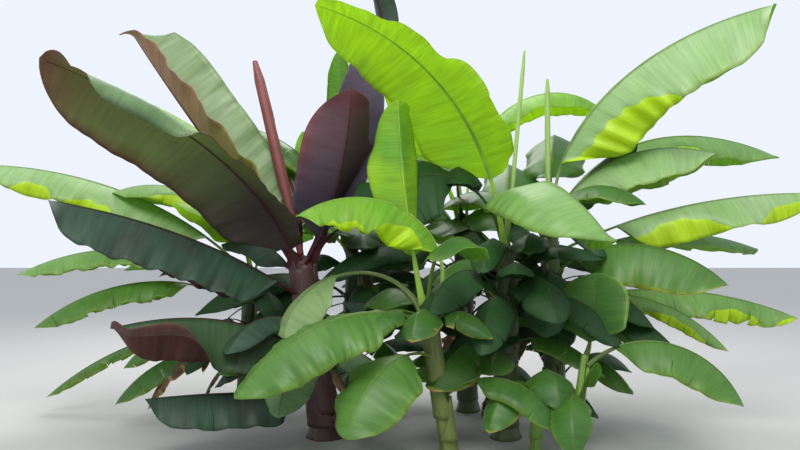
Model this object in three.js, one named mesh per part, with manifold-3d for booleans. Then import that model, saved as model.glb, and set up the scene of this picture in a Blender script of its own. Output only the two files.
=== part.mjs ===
// A clump of banana plants: false stems of clasping leaf sheaths that rise from one root, each with its
// own fronds. Millimetres, +Z up, the origin at the middle of the main stem's flat cut at ground level.
import * as THREE from "three";
import { LoftGeometry } from "three/addons/geometries/LoftGeometry.js";
import { mergeVertices } from "three/addons/utils/BufferGeometryUtils.js";
import Module from "manifold-3d";

const wasm = await Module();
wasm.setup();

// Clearances between neighbours
const GAP = 0.4;
const SNAP = 0.02; // edges shorter than this, left where two surfaces cross, are closed up

// Stems: middle of the foot and of the crown, height, and the radius at each end of the straight taper
const STEMS = {
  main: { foot: [0, 0], crown: [20, 0], height: 1450, footRadius: 95, crownRadius: 60 },
  front: { foot: [-460, -580], crown: [-620, -560], height: 1050, footRadius: 68, crownRadius: 46 },
  right: { foot: [460, 320], crown: [400, 300], height: 1700, footRadius: 85, crownRadius: 55 },
  back: { foot: [-200, 850], crown: [-250, 900], height: 1750, footRadius: 85, crownRadius: 55 },
  pup: { foot: [340, -620], crown: [440, -600], height: 720, footRadius: 46, crownRadius: 26 },
  low: { foot: [140, -420], crown: [170, -440], height: 480, footRadius: 45, crownRadius: 30 },
  left: { foot: [-2150, 750], crown: [-2100, 800], height: 1250, footRadius: 75, crownRadius: 48 },
  red: { foot: [-1360, 50], crown: [-1560, 20], height: 1380, footRadius: 125, crownRadius: 90 },
  rear: { foot: [-1250, 950], crown: [-1220, 1000], height: 1500, footRadius: 80, crownRadius: 50 },
};
const STEM_SIDES = 12;
const SPEAR_SIDES = 8;
const FLARE = 1.35; // radius at the ground against the taper's own
const FLARE_SHARE = 0.09; // share of the height that the flare takes
const SHOULDER = 0.8; // length of the rounded top in crown radii

// Rolled young leaves that stand in three of the crowns: foot, tip and greatest radius
const SPEARS = {
  main: { tip: [160, 0, 2960], radius: 18 },
  right: { tip: [400, 300, 2810], radius: 25 },
  red: { tip: [-1940, 100, 2900], radius: 48 },
};

// The form that a frond has where its own entry says nothing. The climb falls by droop and the azimuth
// swings by turn with the share of the length to this power. Fold is the slope of the blade beside the
// rib and hang is what the slope gains to the margin, in degrees, on both halves or [right, left]. The
// blade widens over the taper share and its tip is squarer the higher blunt is. The foot stands round the
// stem from the frond's own azimuth by the foot angle, and neck is the width of the stalk.
const FORM = { power: 1, roll: 0, fold: -20, hang: -25, blunt: 3, taper: 0.16, foot: 0, neck: 36 };

// Fronds of each stem: name, node, height of the foot, [azimuth, turn], [rise, droop],
// [length, stalk, width], and what differs from FORM. Fronds that name one node are fused.
const FRONDS = {
  main: [
    ["sail", "sail_frond", 1420, [228, -42], [82, 68], [2400, 550, 920],
      { roll: 15, fold: [-20, -5], hang: [-5, -10], blunt: 5 }],
    ["arch_back", "arch_back_frond", 1380, [205, 0], [93, 165], [1620, 760, 700],
      { roll: -50, fold: -10, hang: -15 }],
    ["low_left", "low_left_frond", 700, [229, 0], [30, 88], [970, 250, 500], { roll: -10 }],
    ["main_dark_left", "main_low_fronds", 1000, [215, 25], [62, 125], [1150, 450, 460]],
    ["main_dark_right", "main_low_fronds", 1000, [292, -20], [62, 130], [1050, 400, 440]],
    ["main_dark_side", "main_low_fronds", 1000, [345, 0], [45, 105], [1200, 400, 460]],
  ],
  front: [
    ["front_up", "front_up_frond", 1040, [190, 0], [78, -10], [1420, 350, 520],
      { roll: 85, fold: [60, 10], hang: 0, blunt: 5, taper: 0.8 }],
    ["front_over", "front_over_frond", 1020, [195, -15], [141, 176], [1580, 380, 680],
      { power: 0.68, fold: -30, taper: 0.2, foot: 180 }],
    ["front_right", "front_right_frond", 1030, [285, 10], [90, 120], [1000, 480, 480], { fold: -25 }],
    ["front_dip", "front_low_fronds", 930, [250, 0], [60, 140], [550, 100, 360]],
    ["front_dip_right", "front_low_fronds", 930, [322, 0], [48, 112], [560, 120, 320]],
    ["front_long", "front_left_fronds", 950, [216, -12], [22, 77], [1450, 300, 620],
      { roll: -15, fold: -15, hang: -20 }],
    ["front_short", "front_left_fronds", 950, [222, 0], [40, 100], [650, 200, 300]],
    ["front_down", "front_down_frond", 720, [230, 0], [18, 88], [1000, 250, 560],
      { roll: -15, fold: -10 }],
    ["front_pale", "front_inner_fronds", 1000, [150, 60], [60, 140], [1360, 750, 520],
      { roll: -20, fold: -10, blunt: 2.5 }],
    ["front_inner", "front_inner_fronds", 980, [50, 0], [70, 78], [750, 200, 360]],
  ],
  right: [
    ["roof_front", "roof_fronds", 1520, [222, 81], [73, 123], [1850, 450, 920],
      { power: 0.67, fold: [-45, -10], hang: -15 }],
    ["fan_top", "fan_top_frond", 1660, [336, -6], [102, 97], [2410, 450, 980],
      { power: 0.65, fold: [-30, -58], hang: -12, blunt: 6 }],
    ["fan_up", "fan_up_frond", 1500, [0, -25], [90, 112], [1620, 350, 800],
      { power: 0.8, fold: -30, hang: -30 }],
    ["fan_far", "fan_far_frond", 1600, [37, -40], [58, 85], [2650, 600, 660], { fold: -35, hang: -20 }],
    ["fan_torn", "roof_fronds", 1500, [291, 45], [80, 128], [1060, 350, 400]],
    ["fan_long", "fan_long_frond", 1400, [340, 15], [28, 30], [2000, 500, 620],
      { fold: -40, hang: -20 }],
    ["fan_low_back", "fan_low_back_frond", 1320, [16, 0], [24, 42], [2050, 600, 450], { blunt: 5 }],
    ["fan_wide", "fan_front_fronds", 1200, [300, 45], [48, 95], [1500, 350, 700], { fold: -45 }],
    ["fan_tatter", "fan_low_fronds", 1050, [350, 10], [15, 38], [1850, 500, 500], { fold: -40 }],
    ["fan_twist", "fan_low_fronds", 1000, [340, 0], [20, 72], [1350, 400, 300], { fold: -40 }],
    ["drop_dark", "fan_front_fronds", 1150, [230, 60], [50, 130], [850, 250, 350]],
    ["drop_wide", "fan_front_fronds", 1150, [255, 0], [35, 112], [1100, 350, 440]],
    ["fan_under", "fan_low_fronds", 1000, [312, 0], [12, 70], [1250, 350, 420]],
  ],
  back: [
    ["back_left", "back_left_fronds", 1700, [200, 0], [75, 20], [1500, 500, 550]],
    ["back_up", "back_up_frond", 1720, [350, 0], [90, 140], [2000, 800, 550],
      { power: 1.5, fold: -25 }],
    ["back_lime", "back_left_fronds", 1660, [217, 0], [88, 130], [1350, 400, 500]],
    ["back_mid", "back_left_fronds", 1680, [266, 0], [60, 100], [1400, 400, 500]],
    ["back_low", "back_low_fronds", 1150, [140, 0], [35, 80], [1600, 450, 520]],
    ["back_dark_right", "back_low_fronds", 1150, [338, 0], [48, 95], [1600, 450, 520]],
    ["back_dark_left", "back_low_fronds", 1150, [205, 0], [50, 100], [1500, 450, 500]],
  ],
  pup: [
    ["pup_long", "pup_top_fronds", 660, [345, -15], [45, 115], [1150, 200, 500], { fold: -35 }],
    ["pup_up", "pup_top_fronds", 660, [55, 0], [76, 10], [640, 140, 500], { fold: 10, hang: -10 }],
    ["pup_left", "pup_low_fronds", 400, [240, 30], [50, 140], [750, 180, 300]],
    ["pup_spear", "pup_low_fronds", 400, [280, 0], [60, 20], [420, 160, 120]],
  ],
  low: [
    ["low_mid", "sucker_fronds", 470, [275, 0], [85, 170], [700, 120, 380]],
    ["low_front", "sucker_fronds", 380, [225, 10], [50, 125], [780, 180, 360]],
  ],
  left: [
    ["left_far", "left_far_frond", 1220, [203, -12], [46, 50], [2500, 450, 660], { fold: -30 }],
    ["left_up", "left_top_fronds", 1240, [225, -45], [85, 110], [1550, 350, 500]],
    ["left_lime", "left_top_fronds", 1200, [280, -70], [68, 74], [1150, 300, 450]],
    ["left_one", "left_one_frond", 1100, [198, -10], [36, 65], [1950, 500, 500]],
    ["left_two", "left_two_frond", 950, [196, 0], [31, 73], [1800, 500, 500]],
    ["left_thin", "left_low_fronds", 750, [180, 0], [2, 44], [1850, 800, 250]],
    ["left_drop", "left_low_fronds", 750, [225, -38], [23, 79], [1100, 400, 350]],
    ["left_drop2", "left_bottom_fronds", 550, [232, -40], [26, 85], [1200, 350, 400]],
    ["left_dead", "left_bottom_fronds", 500, [250, -60], [34, 112], [1100, 350, 200]],
  ],
  red: [
    ["red_sail", "red_sail_frond", 1280, [227, -12], [88, 73], [2290, 150, 820],
      { power: 0.42, roll: 45, fold: [-50, -5], hang: [-10, -5], blunt: 5, neck: 90 }],
    ["red_high", "red_high_frond", 1350, [185, -23], [53, -1], [2250, 300, 760],
      { power: 1.3, roll: -25, fold: [55, 45], hang: 5, blunt: 5, neck: 90 }],
    ["red_face", "red_face_frond", 1300, [345, -60], [60, -15], [1380, 250, 660],
      { fold: 20, hang: 0, foot: -50, neck: 90 }],
    ["red_point", "red_point_frond", 1320, [357, 60], [62, -28], [1880, 300, 500],
      { roll: 45, fold: 20, hang: 0, blunt: 1.5, foot: 25, neck: 90 }],
    ["red_top", "red_top_frond", 1340, [48, 0], [63, -95], [2650, 2000, 300], { power: 6 }],
    ["red_dark", "red_dark_frond", 1080, [212, -14], [34, 25], [1850, 200, 750],
      { fold: -45, hang: -10, blunt: 5, neck: 90 }],
    ["red_curl", "red_low_fronds", 620, [222, -20], [38, 52], [1500, 200, 760],
      { fold: -48, hang: -20, blunt: 5 }],
    ["red_under", "red_low_fronds", 620, [262, 0], [30, 95], [950, 200, 420]],
    ["red_low", "red_low_frond", 320, [228, -26], [14, 16], [1250, 200, 550], { fold: -35, blunt: 5 }],
  ],
  rear: [
    ["rear_up", "rear_left_fronds", 1450, [205, -16], [86, 88], [1800, 550, 620]],
    ["rear_mid", "rear_left_fronds", 1420, [258, 0], [60, 95], [1300, 400, 460]],
    ["rear_tall", "rear_tall_fronds", 1480, [180, 0], [86, -4], [1800, 500, 340], { roll: 80 }],
    ["rear_right", "rear_tall_fronds", 1450, [195, 0], [80, 25], [1100, 300, 450], { roll: 60 }],
    ["rear_lime", "rear_left_fronds", 1420, [180, 0], [45, 17], [2200, 600, 450]],
    ["rear_dark_left", "rear_front_fronds", 1000, [205, 10], [38, 85], [1500, 450, 500]],
    ["rear_dark_low", "rear_front_fronds", 1000, [232, 0], [8, 60], [1400, 450, 500]],
    ["rear_dark_right", "rear_front_fronds", 1000, [320, 0], [30, 80], [1350, 400, 480]],
  ],
};

// The side that turns away from the photo: each stem's two rear fronds, the upper one tall and steep,
// the lower one shorter and flatter, by azimuth of each and length of the upper one
const REAR = {
  main: [75, 120, 2000],
  right: [70, 100, 2200],
  back: [95, 45, 2100],
  rear: [80, 125, 2000],
  red: [110, 65, 2300],
  left: [110, 155, 1900],
};

// Short drooping fronds low inside the clump: node, height of the feet, azimuths and length
const INNER = {
  main: ["main_low_fronds", 1000, [195, 250, 320], 1050],
  back: ["back_low_fronds", 1150, [245, 300], 1200],
  red: ["red_low_fronds", 620, [320], 1000],
  rear: ["rear_front_fronds", 1000, [215, 290], 1150],
};

// Sections across a frond: stalk and blade share of each station, and lateral share of each point
const LONG_BLADE = 1500; // blades over this get the finer stations
const FINE = { stalk: [0, 0.5], blade: [0, 0.05, 0.16, 0.4, 0.62, 0.8, 0.93, 1], across: [-1, -0.5, 0, 0.5, 1] };
const COARSE = { stalk: [0], blade: [0, 0.1, 0.4, 0.72, 0.92, 1], across: [-1, 0, 1] };
const WALK = 200; // steps by which the midrib is followed
const THICK_SHARE = 0.01; // blade thickness against the frond's length
const RIB_SHARE = 0.004; // what the rib adds to it
const NECK_SHARE = 0.2; // share of the blade over which a broad stalk narrows to the common one
const STALK_THICK = 26;
const TIP_WIDTH = 16;
const SWEEP = 0.1; // how far the margin runs ahead of the rib, in blade widths
const FOOT_INSET = 0.3; // how deep in the stem a frond's foot starts, in radii
const SHARED_FOOT = 8; // how far outside the stem fused fronds have their common foot

const LEAF_GREEN = new THREE.Color("#6f9a3c");
const RED_LEAF = new THREE.Color("#5d4038");
const STEM_GREEN = new THREE.Color("#76803f");
const RED_STEM = new THREE.Color("#5a3a35");
const PALE_GREEN = new THREE.Color("#a3b45c");

const radians = THREE.MathUtils.degToRad;
const mix = THREE.MathUtils.lerp;
const clamp = THREE.MathUtils.clamp;

// A closed geometry as a solid: only the positions are kept, and shared corners are merged.
function solidOf(geometry) {
  const bare = new THREE.BufferGeometry();
  bare.setAttribute("position", geometry.getAttribute("position"));
  bare.setIndex(geometry.index);
  const merged = mergeVertices(bare, 1e-3);
  return new wasm.Manifold(
    new wasm.Mesh({
      numProp: 3,
      vertProperties: merged.attributes.position.array,
      triVerts: new Uint32Array(merged.index.array),
    }),
  );
}

// A solid through rings of points, each with the same count, capped at both ends
function loft(rings) {
  return solidOf(new LoftGeometry(rings, { closed: true, capStart: true, capEnd: true }));
}

// A solid as a mesh of the clump
function meshOf(name, solid, color, roughness) {
  const { numProp, vertProperties, triVerts } = solid.setTolerance(SNAP).getMesh();
  const positions = new Float32Array((vertProperties.length / numProp) * 3);
  for (let i = 0; i < positions.length / 3; i++)
    positions.set(vertProperties.subarray(i * numProp, i * numProp + 3), i * 3);
  const geometry = new THREE.BufferGeometry();
  geometry.setAttribute("position", new THREE.BufferAttribute(positions, 3));
  geometry.setIndex(new THREE.BufferAttribute(triVerts, 1));
  geometry.computeVertexNormals();
  const mesh = new THREE.Mesh(geometry, new THREE.MeshStandardMaterial({ color, roughness, metalness: 0 }));
  mesh.name = name;
  return mesh;
}

// The middle of a stem at a height
function stemMiddle(stem, height) {
  const share = height / stem.height;
  return new THREE.Vector3(
    mix(stem.foot[0], stem.crown[0], share),
    mix(stem.foot[1], stem.crown[1], share),
    height,
  );
}

// The radius of a stem at a height: a straight taper, flared at the ground and rounded at the crown
function stemRadius(stem, height) {
  const share = height / stem.height;
  const taper = mix(stem.footRadius, stem.crownRadius, share);
  const flare = 1 + (FLARE - 1) * Math.max(0, 1 - share / FLARE_SHARE) ** 2;
  const shoulder = stem.crownRadius * SHOULDER;
  const rounding = clamp((height - stem.height + shoulder) / shoulder, 0, 1);
  return taper * flare * Math.sqrt(1 - 0.8 * rounding ** 2);
}

// A stem grown by a margin on all sides
function stemSolid(stem, margin) {
  const shoulder = stem.crownRadius * SHOULDER;
  const heights = [0, 0.03, FLARE_SHARE, 0.35, 0.65].map((share) => share * stem.height);
  heights.push(stem.height - shoulder, stem.height - shoulder * 0.35, stem.height);
  const rings = heights.map((height, level) => {
    const middle = stemMiddle(stem, height);
    if (margin && level === 0) middle.z -= margin;
    if (margin && level === heights.length - 1) middle.z += margin;
    const radius = stemRadius(stem, height) + margin;
    return Array.from({ length: STEM_SIDES }, (_, side) => {
      const angle = (2 * Math.PI * side) / STEM_SIDES;
      return new THREE.Vector3(
        middle.x + radius * Math.cos(angle),
        middle.y + radius * Math.sin(angle),
        middle.z,
      );
    });
  });
  return loft(rings);
}

// A rolled leaf: a slim spindle from just above the crown to its tip
function spearSolid(stem, spear, margin) {
  const foot = stemMiddle(stem, stem.height);
  foot.z += GAP - margin;
  const tip = new THREE.Vector3(...spear.tip);
  const profile = [
    [0, 0.5],
    [0.2, 0.85],
    [0.5, 1],
    [0.9, 0.9],
    [1, 0.45],
  ];
  const rings = profile.map(([share, girth]) => {
    const middle = foot.clone().lerp(tip, share);
    return Array.from({ length: SPEAR_SIDES }, (_, side) => {
      const angle = (2 * Math.PI * side) / SPEAR_SIDES;
      const radius = spear.radius * girth + margin;
      return new THREE.Vector3(
        middle.x + radius * Math.cos(angle),
        middle.y + radius * Math.sin(angle),
        middle.z,
      );
    });
  });
  return loft(rings);
}

// Follows a frond's midrib from its foot: point, direction, the blade's sideways and upward axes
function midrib(frond, foot) {
  const point = foot.clone();
  const frames = [];
  let before = null;
  for (let step = 0; step <= WALK; step++) {
    const bend = (step / WALK) ** frond.power;
    const climb = radians(frond.rise - frond.droop * bend);
    const azimuth = radians(frond.azimuth + frond.turn * bend);
    const along = new THREE.Vector3(
      Math.cos(climb) * Math.cos(azimuth),
      Math.cos(climb) * Math.sin(azimuth),
      Math.sin(climb),
    );
    if (before) {
      const stride = before.clone().add(along).multiplyScalar(frond.length / WALK / 2);
      point.add(stride);
    }
    before = along;
    const level = new THREE.Vector3(-Math.sin(azimuth), Math.cos(azimuth), 0);
    const raised = along.clone().cross(level);
    const roll = radians(frond.roll);
    frames.push({
      point: point.clone(),
      along,
      side: level.clone().multiplyScalar(Math.cos(roll)).addScaledVector(raised, Math.sin(roll)),
      up: raised.clone().multiplyScalar(Math.cos(roll)).addScaledVector(level, -Math.sin(roll)),
    });
  }
  return frames;
}

// Half the blade's width at a share of the blade, against its greatest: a quarter ellipse at the base,
// then a tip that closes by its blunt power
function widthShare(share, frond) {
  const base = Math.sqrt(1 - (1 - clamp(share / frond.taper, 0, 1)) ** 2);
  const closing = clamp((share - 0.4) / 0.6, 0, 1);
  return base * (1 - closing ** frond.blunt) ** 0.7;
}

// Half a blade across: how far out and up a lateral share is when the slope goes from fold to fold + hang
function acrossBlade(share, fold, hang) {
  const start = radians(fold);
  const gain = radians(hang) + 1e-6;
  return {
    run: (Math.sin(start + gain * share) - Math.sin(start)) / gain,
    rise: (Math.cos(start) - Math.cos(start + gain * share)) / gain,
    slope: start + gain * share,
  };
}

// One frond, stalk and blade, as a single swept solid grown by a margin
function frondSolid(frond, foot, margin) {
  const frames = midrib(frond, foot);
  const stalkShare = frond.stalk / frond.length;
  const detail = frond.length - frond.stalk > LONG_BLADE ? FINE : COARSE;
  const stations = [
    ...detail.stalk.map((share) => ({ share: share * stalkShare, blade: -1 })),
    ...detail.blade.map((share) => ({ share: mix(stalkShare, 1, share), blade: share })),
  ];
  const [foldRight, foldLeft] = [].concat(frond.fold, frond.fold);
  const [hangRight, hangLeft] = [].concat(frond.hang, frond.hang);
  const rings = stations.map(({ share, blade }, index) => {
    const frame = frames[Math.round(share * WALK)];
    const spread = blade < 0 ? 0 : widthShare(blade, frond);
    const open = clamp((spread - 0.1) / 0.5, 0, 1);
    const neck = mix(frond.neck, FORM.neck, clamp(blade / NECK_SHARE, 0, 1));
    const least = (blade < 0.5 ? neck : TIP_WIDTH) / 2;
    const half = Math.max(least, (spread * frond.width) / 2) + margin;
    const edge = mix(STALK_THICK * 0.6, frond.length * THICK_SHARE, open);
    const middle = blade < 0 ? STALK_THICK : edge + frond.length * RIB_SHARE;
    const end = index === 0 ? -margin : index === stations.length - 1 ? margin : 0;
    const pointOn = (lateral, face) => {
      const out = Math.abs(lateral);
      const hand = Math.sign(lateral);
      const fold = (hand < 0 ? foldLeft : foldRight) * open;
      const hang = (hand < 0 ? hangLeft : hangRight) * open;
      const { run, rise, slope } = acrossBlade(out, fold, hang);
      const thick = mix(middle, edge, Math.min(1, out * 2)) / 2 + margin;
      const sweep = SWEEP * frond.width * out * (1 - Math.max(blade, 0)) * open;
      const lean = hand * Math.sin(slope) * face * thick;
      return frame.point
        .clone()
        .addScaledVector(frame.side, hand * run * half - lean)
        .addScaledVector(frame.up, rise * half + Math.cos(slope) * face * thick)
        .addScaledVector(frame.along, sweep + end);
    };
    const under = detail.across.map((lateral) => pointOn(lateral, -1));
    const top = detail.across.map((lateral) => pointOn(lateral, 1)).reverse();
    return [...under, ...top];
  });
  return loft(rings);
}

// Every frond of the clump with its full set of named values
function allFronds() {
  const list = [];
  const add = (name, node, stem, at, [azimuth, turn], [rise, droop], [length, stalk, width], form) =>
    list.push({ ...FORM, name, node, stem, at, azimuth, turn, rise, droop, length, stalk, width, ...form });
  for (const [stem, rows] of Object.entries(FRONDS))
    for (const [name, node, ...rest] of rows) add(name, node, stem, ...rest);
  for (const [stem, [upper, lower, length]] of Object.entries(REAR)) {
    const top = STEMS[stem].height;
    const node = stem + "_back_fronds";
    const short = length * 0.85;
    add(node + "_1", node, stem, top - 80, [upper, 10], [72, 92], [length, length * 0.22, length * 0.31]);
    add(node + "_2", node, stem, top - 110, [lower, 0], [44, 84], [short, short * 0.25, short * 0.32]);
  }
  for (const [stem, [node, at, azimuths, length]] of Object.entries(INNER))
    for (const azimuth of azimuths)
      add(node + azimuth, node, stem, at, [azimuth, 0], [35, 100], [length, length * 0.32, length * 0.38]);
  return list;
}

// Where a frond starts: inside its stem's skin on its own azimuth, or, where a node fuses several,
// at the one point outside the skin that they share
function footOf(frond, mates) {
  const stem = STEMS[frond.stem];
  const shared = mates.length > 1;
  const toward = new THREE.Vector2();
  for (const mate of mates) {
    const azimuth = radians(mate.azimuth + mate.foot);
    toward.add(new THREE.Vector2(Math.cos(azimuth), Math.sin(azimuth)));
  }
  toward.normalize();
  const at = mates.reduce((sum, mate) => sum + mate.at, 0) / mates.length;
  const radius = stemRadius(stem, at);
  const out = shared ? radius + SHARED_FOOT : radius * (1 - FOOT_INSET);
  return stemMiddle(stem, at).add(new THREE.Vector3(toward.x * out, toward.y * out, 0));
}

// The largest body of a solid, so that a scrap cut loose is dropped
function largestBody(solid) {
  return solid.decompose().reduce((a, b) => (b.volume() > a.volume() ? b : a));
}

// What is left of a node when a grown neighbour is cut away
function cutBy(solid, grown) {
  return largestBody(solid.subtract(grown));
}

const fronds = allFronds();
const nodes = new Map();
for (const frond of fronds) {
  if (!nodes.has(frond.node)) nodes.set(frond.node, []);
  nodes.get(frond.node).push(frond);
}

const clump = new THREE.Group();
const carriers = [];
for (const [name, stem] of Object.entries(STEMS)) {
  const color = name === "red" ? RED_STEM : STEM_GREEN;
  clump.add(meshOf(name + "_stem", stemSolid(stem, 0), color, 0.6));
  carriers.push(stemSolid(stem, GAP));
}
for (const [name, spear] of Object.entries(SPEARS)) {
  const color = name === "red" ? RED_LEAF : PALE_GREEN;
  clump.add(meshOf(name + "_spear", spearSolid(STEMS[name], spear, 0), color, 0.5));
  carriers.push(spearSolid(STEMS[name], spear, GAP));
}

// Each node's fronds are fused, cut clear of the stems and rolled leaves, and then two nodes that
// cross are parted by cutting whichever loses less.
const blades = [];
for (const [name, mates] of nodes) {
  const fuse = (margin) =>
    mates.map((frond) => frondSolid(frond, footOf(frond, mates), margin)).reduce((a, b) => a.add(b));
  let solid = fuse(0);
  for (const carrier of carriers) solid = cutBy(solid, carrier);
  blades.push({ name, red: mates[0].stem === "red", solid, grown: fuse(GAP) });
}
for (let i = 0; i < blades.length; i++)
  for (let j = i + 1; j < blades.length; j++) {
    const [a, b] = [blades[i], blades[j]];
    if (a.solid.intersect(b.grown).isEmpty()) continue;
    const cutA = cutBy(a.solid, b.grown);
    const cutB = cutBy(b.solid, a.grown);
    if (a.solid.volume() - cutA.volume() < b.solid.volume() - cutB.volume()) a.solid = cutA;
    else b.solid = cutB;
  }
for (const { name, red, solid } of blades) clump.add(meshOf(name, solid, red ? RED_LEAF : LEAF_GREEN, 0.45));

export default clump;
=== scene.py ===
"""The looks of a banana plant clump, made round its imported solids: false stems of clasping sheaths, fronds
with veined, rippled and torn blades, and rolled young leaves. Metres, degrees, +Z up."""

import math
from functools import cache

import bpy
import numpy as np
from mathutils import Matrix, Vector


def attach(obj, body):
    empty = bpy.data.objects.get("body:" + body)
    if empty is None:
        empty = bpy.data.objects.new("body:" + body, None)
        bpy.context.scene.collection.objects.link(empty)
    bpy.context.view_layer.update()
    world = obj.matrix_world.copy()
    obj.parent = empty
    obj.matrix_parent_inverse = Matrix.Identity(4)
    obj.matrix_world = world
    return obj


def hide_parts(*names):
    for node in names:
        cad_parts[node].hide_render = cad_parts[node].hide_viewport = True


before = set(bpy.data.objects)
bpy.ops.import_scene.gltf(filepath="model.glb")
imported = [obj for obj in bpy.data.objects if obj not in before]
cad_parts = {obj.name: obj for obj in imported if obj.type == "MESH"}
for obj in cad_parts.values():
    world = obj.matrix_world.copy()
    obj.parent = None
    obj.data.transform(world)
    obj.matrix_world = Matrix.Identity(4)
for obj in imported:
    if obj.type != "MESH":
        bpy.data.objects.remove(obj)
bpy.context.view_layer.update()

# Stems: middle of the foot and of the crown, height, and the radius at each end of the straight taper
STEMS = {
    "main": dict(foot=(0, 0), crown=(0.02, 0), height=1.45, foot_radius=0.095, crown_radius=0.060),
    "front": dict(foot=(-0.46, -0.58), crown=(-0.62, -0.56), height=1.05,
                  foot_radius=0.068, crown_radius=0.046),
    "right": dict(foot=(0.46, 0.32), crown=(0.40, 0.30), height=1.70, foot_radius=0.085, crown_radius=0.055),
    "back": dict(foot=(-0.20, 0.85), crown=(-0.25, 0.90), height=1.75, foot_radius=0.085, crown_radius=0.055),
    "pup": dict(foot=(0.34, -0.62), crown=(0.44, -0.60), height=0.72, foot_radius=0.046, crown_radius=0.026),
    "low": dict(foot=(0.14, -0.42), crown=(0.17, -0.44), height=0.48, foot_radius=0.045, crown_radius=0.030),
    "left": dict(foot=(-2.15, 0.75), crown=(-2.10, 0.80), height=1.25, foot_radius=0.075, crown_radius=0.048),
    "red": dict(foot=(-1.36, 0.05), crown=(-1.56, 0.02), height=1.38, foot_radius=0.125, crown_radius=0.090),
    "rear": dict(foot=(-1.25, 0.95), crown=(-1.22, 1.00), height=1.50, foot_radius=0.080, crown_radius=0.050),
}
FLARE = 1.35  # girth at the ground against the taper's
FLARE_SHARE = 0.09  # of the height, over which the flare dies off
SHOULDER = 0.8  # height of the rounded shoulder in crown radii
CROWN_ROUNDING = 0.8

# Rolled young leaves: tip and greatest radius
SPEARS = {
    "main": dict(tip=(0.16, 0, 2.96), radius=0.018),
    "right": dict(tip=(0.40, 0.30, 2.81), radius=0.025),
    "red": dict(tip=(-1.94, 0.10, 2.90), radius=0.048),
}

# The form that a frond has where its own entry says nothing: the climb falls by droop and the azimuth
# swings by turn with the share of the length to the power, fold is the slope of the blade beside the rib
# and hang what it gains to the margin, in degrees, for both halves or (right, left), the blade widens over
# the taper share, its tip is squarer the higher blunt is, foot turns the foot round the stem, and neck is
# the width of the stalk at the stem.
FORM = dict(power=1, roll=0, fold=-20, hang=-25, blunt=3, taper=0.16, foot=0, neck=0.036)

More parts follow.
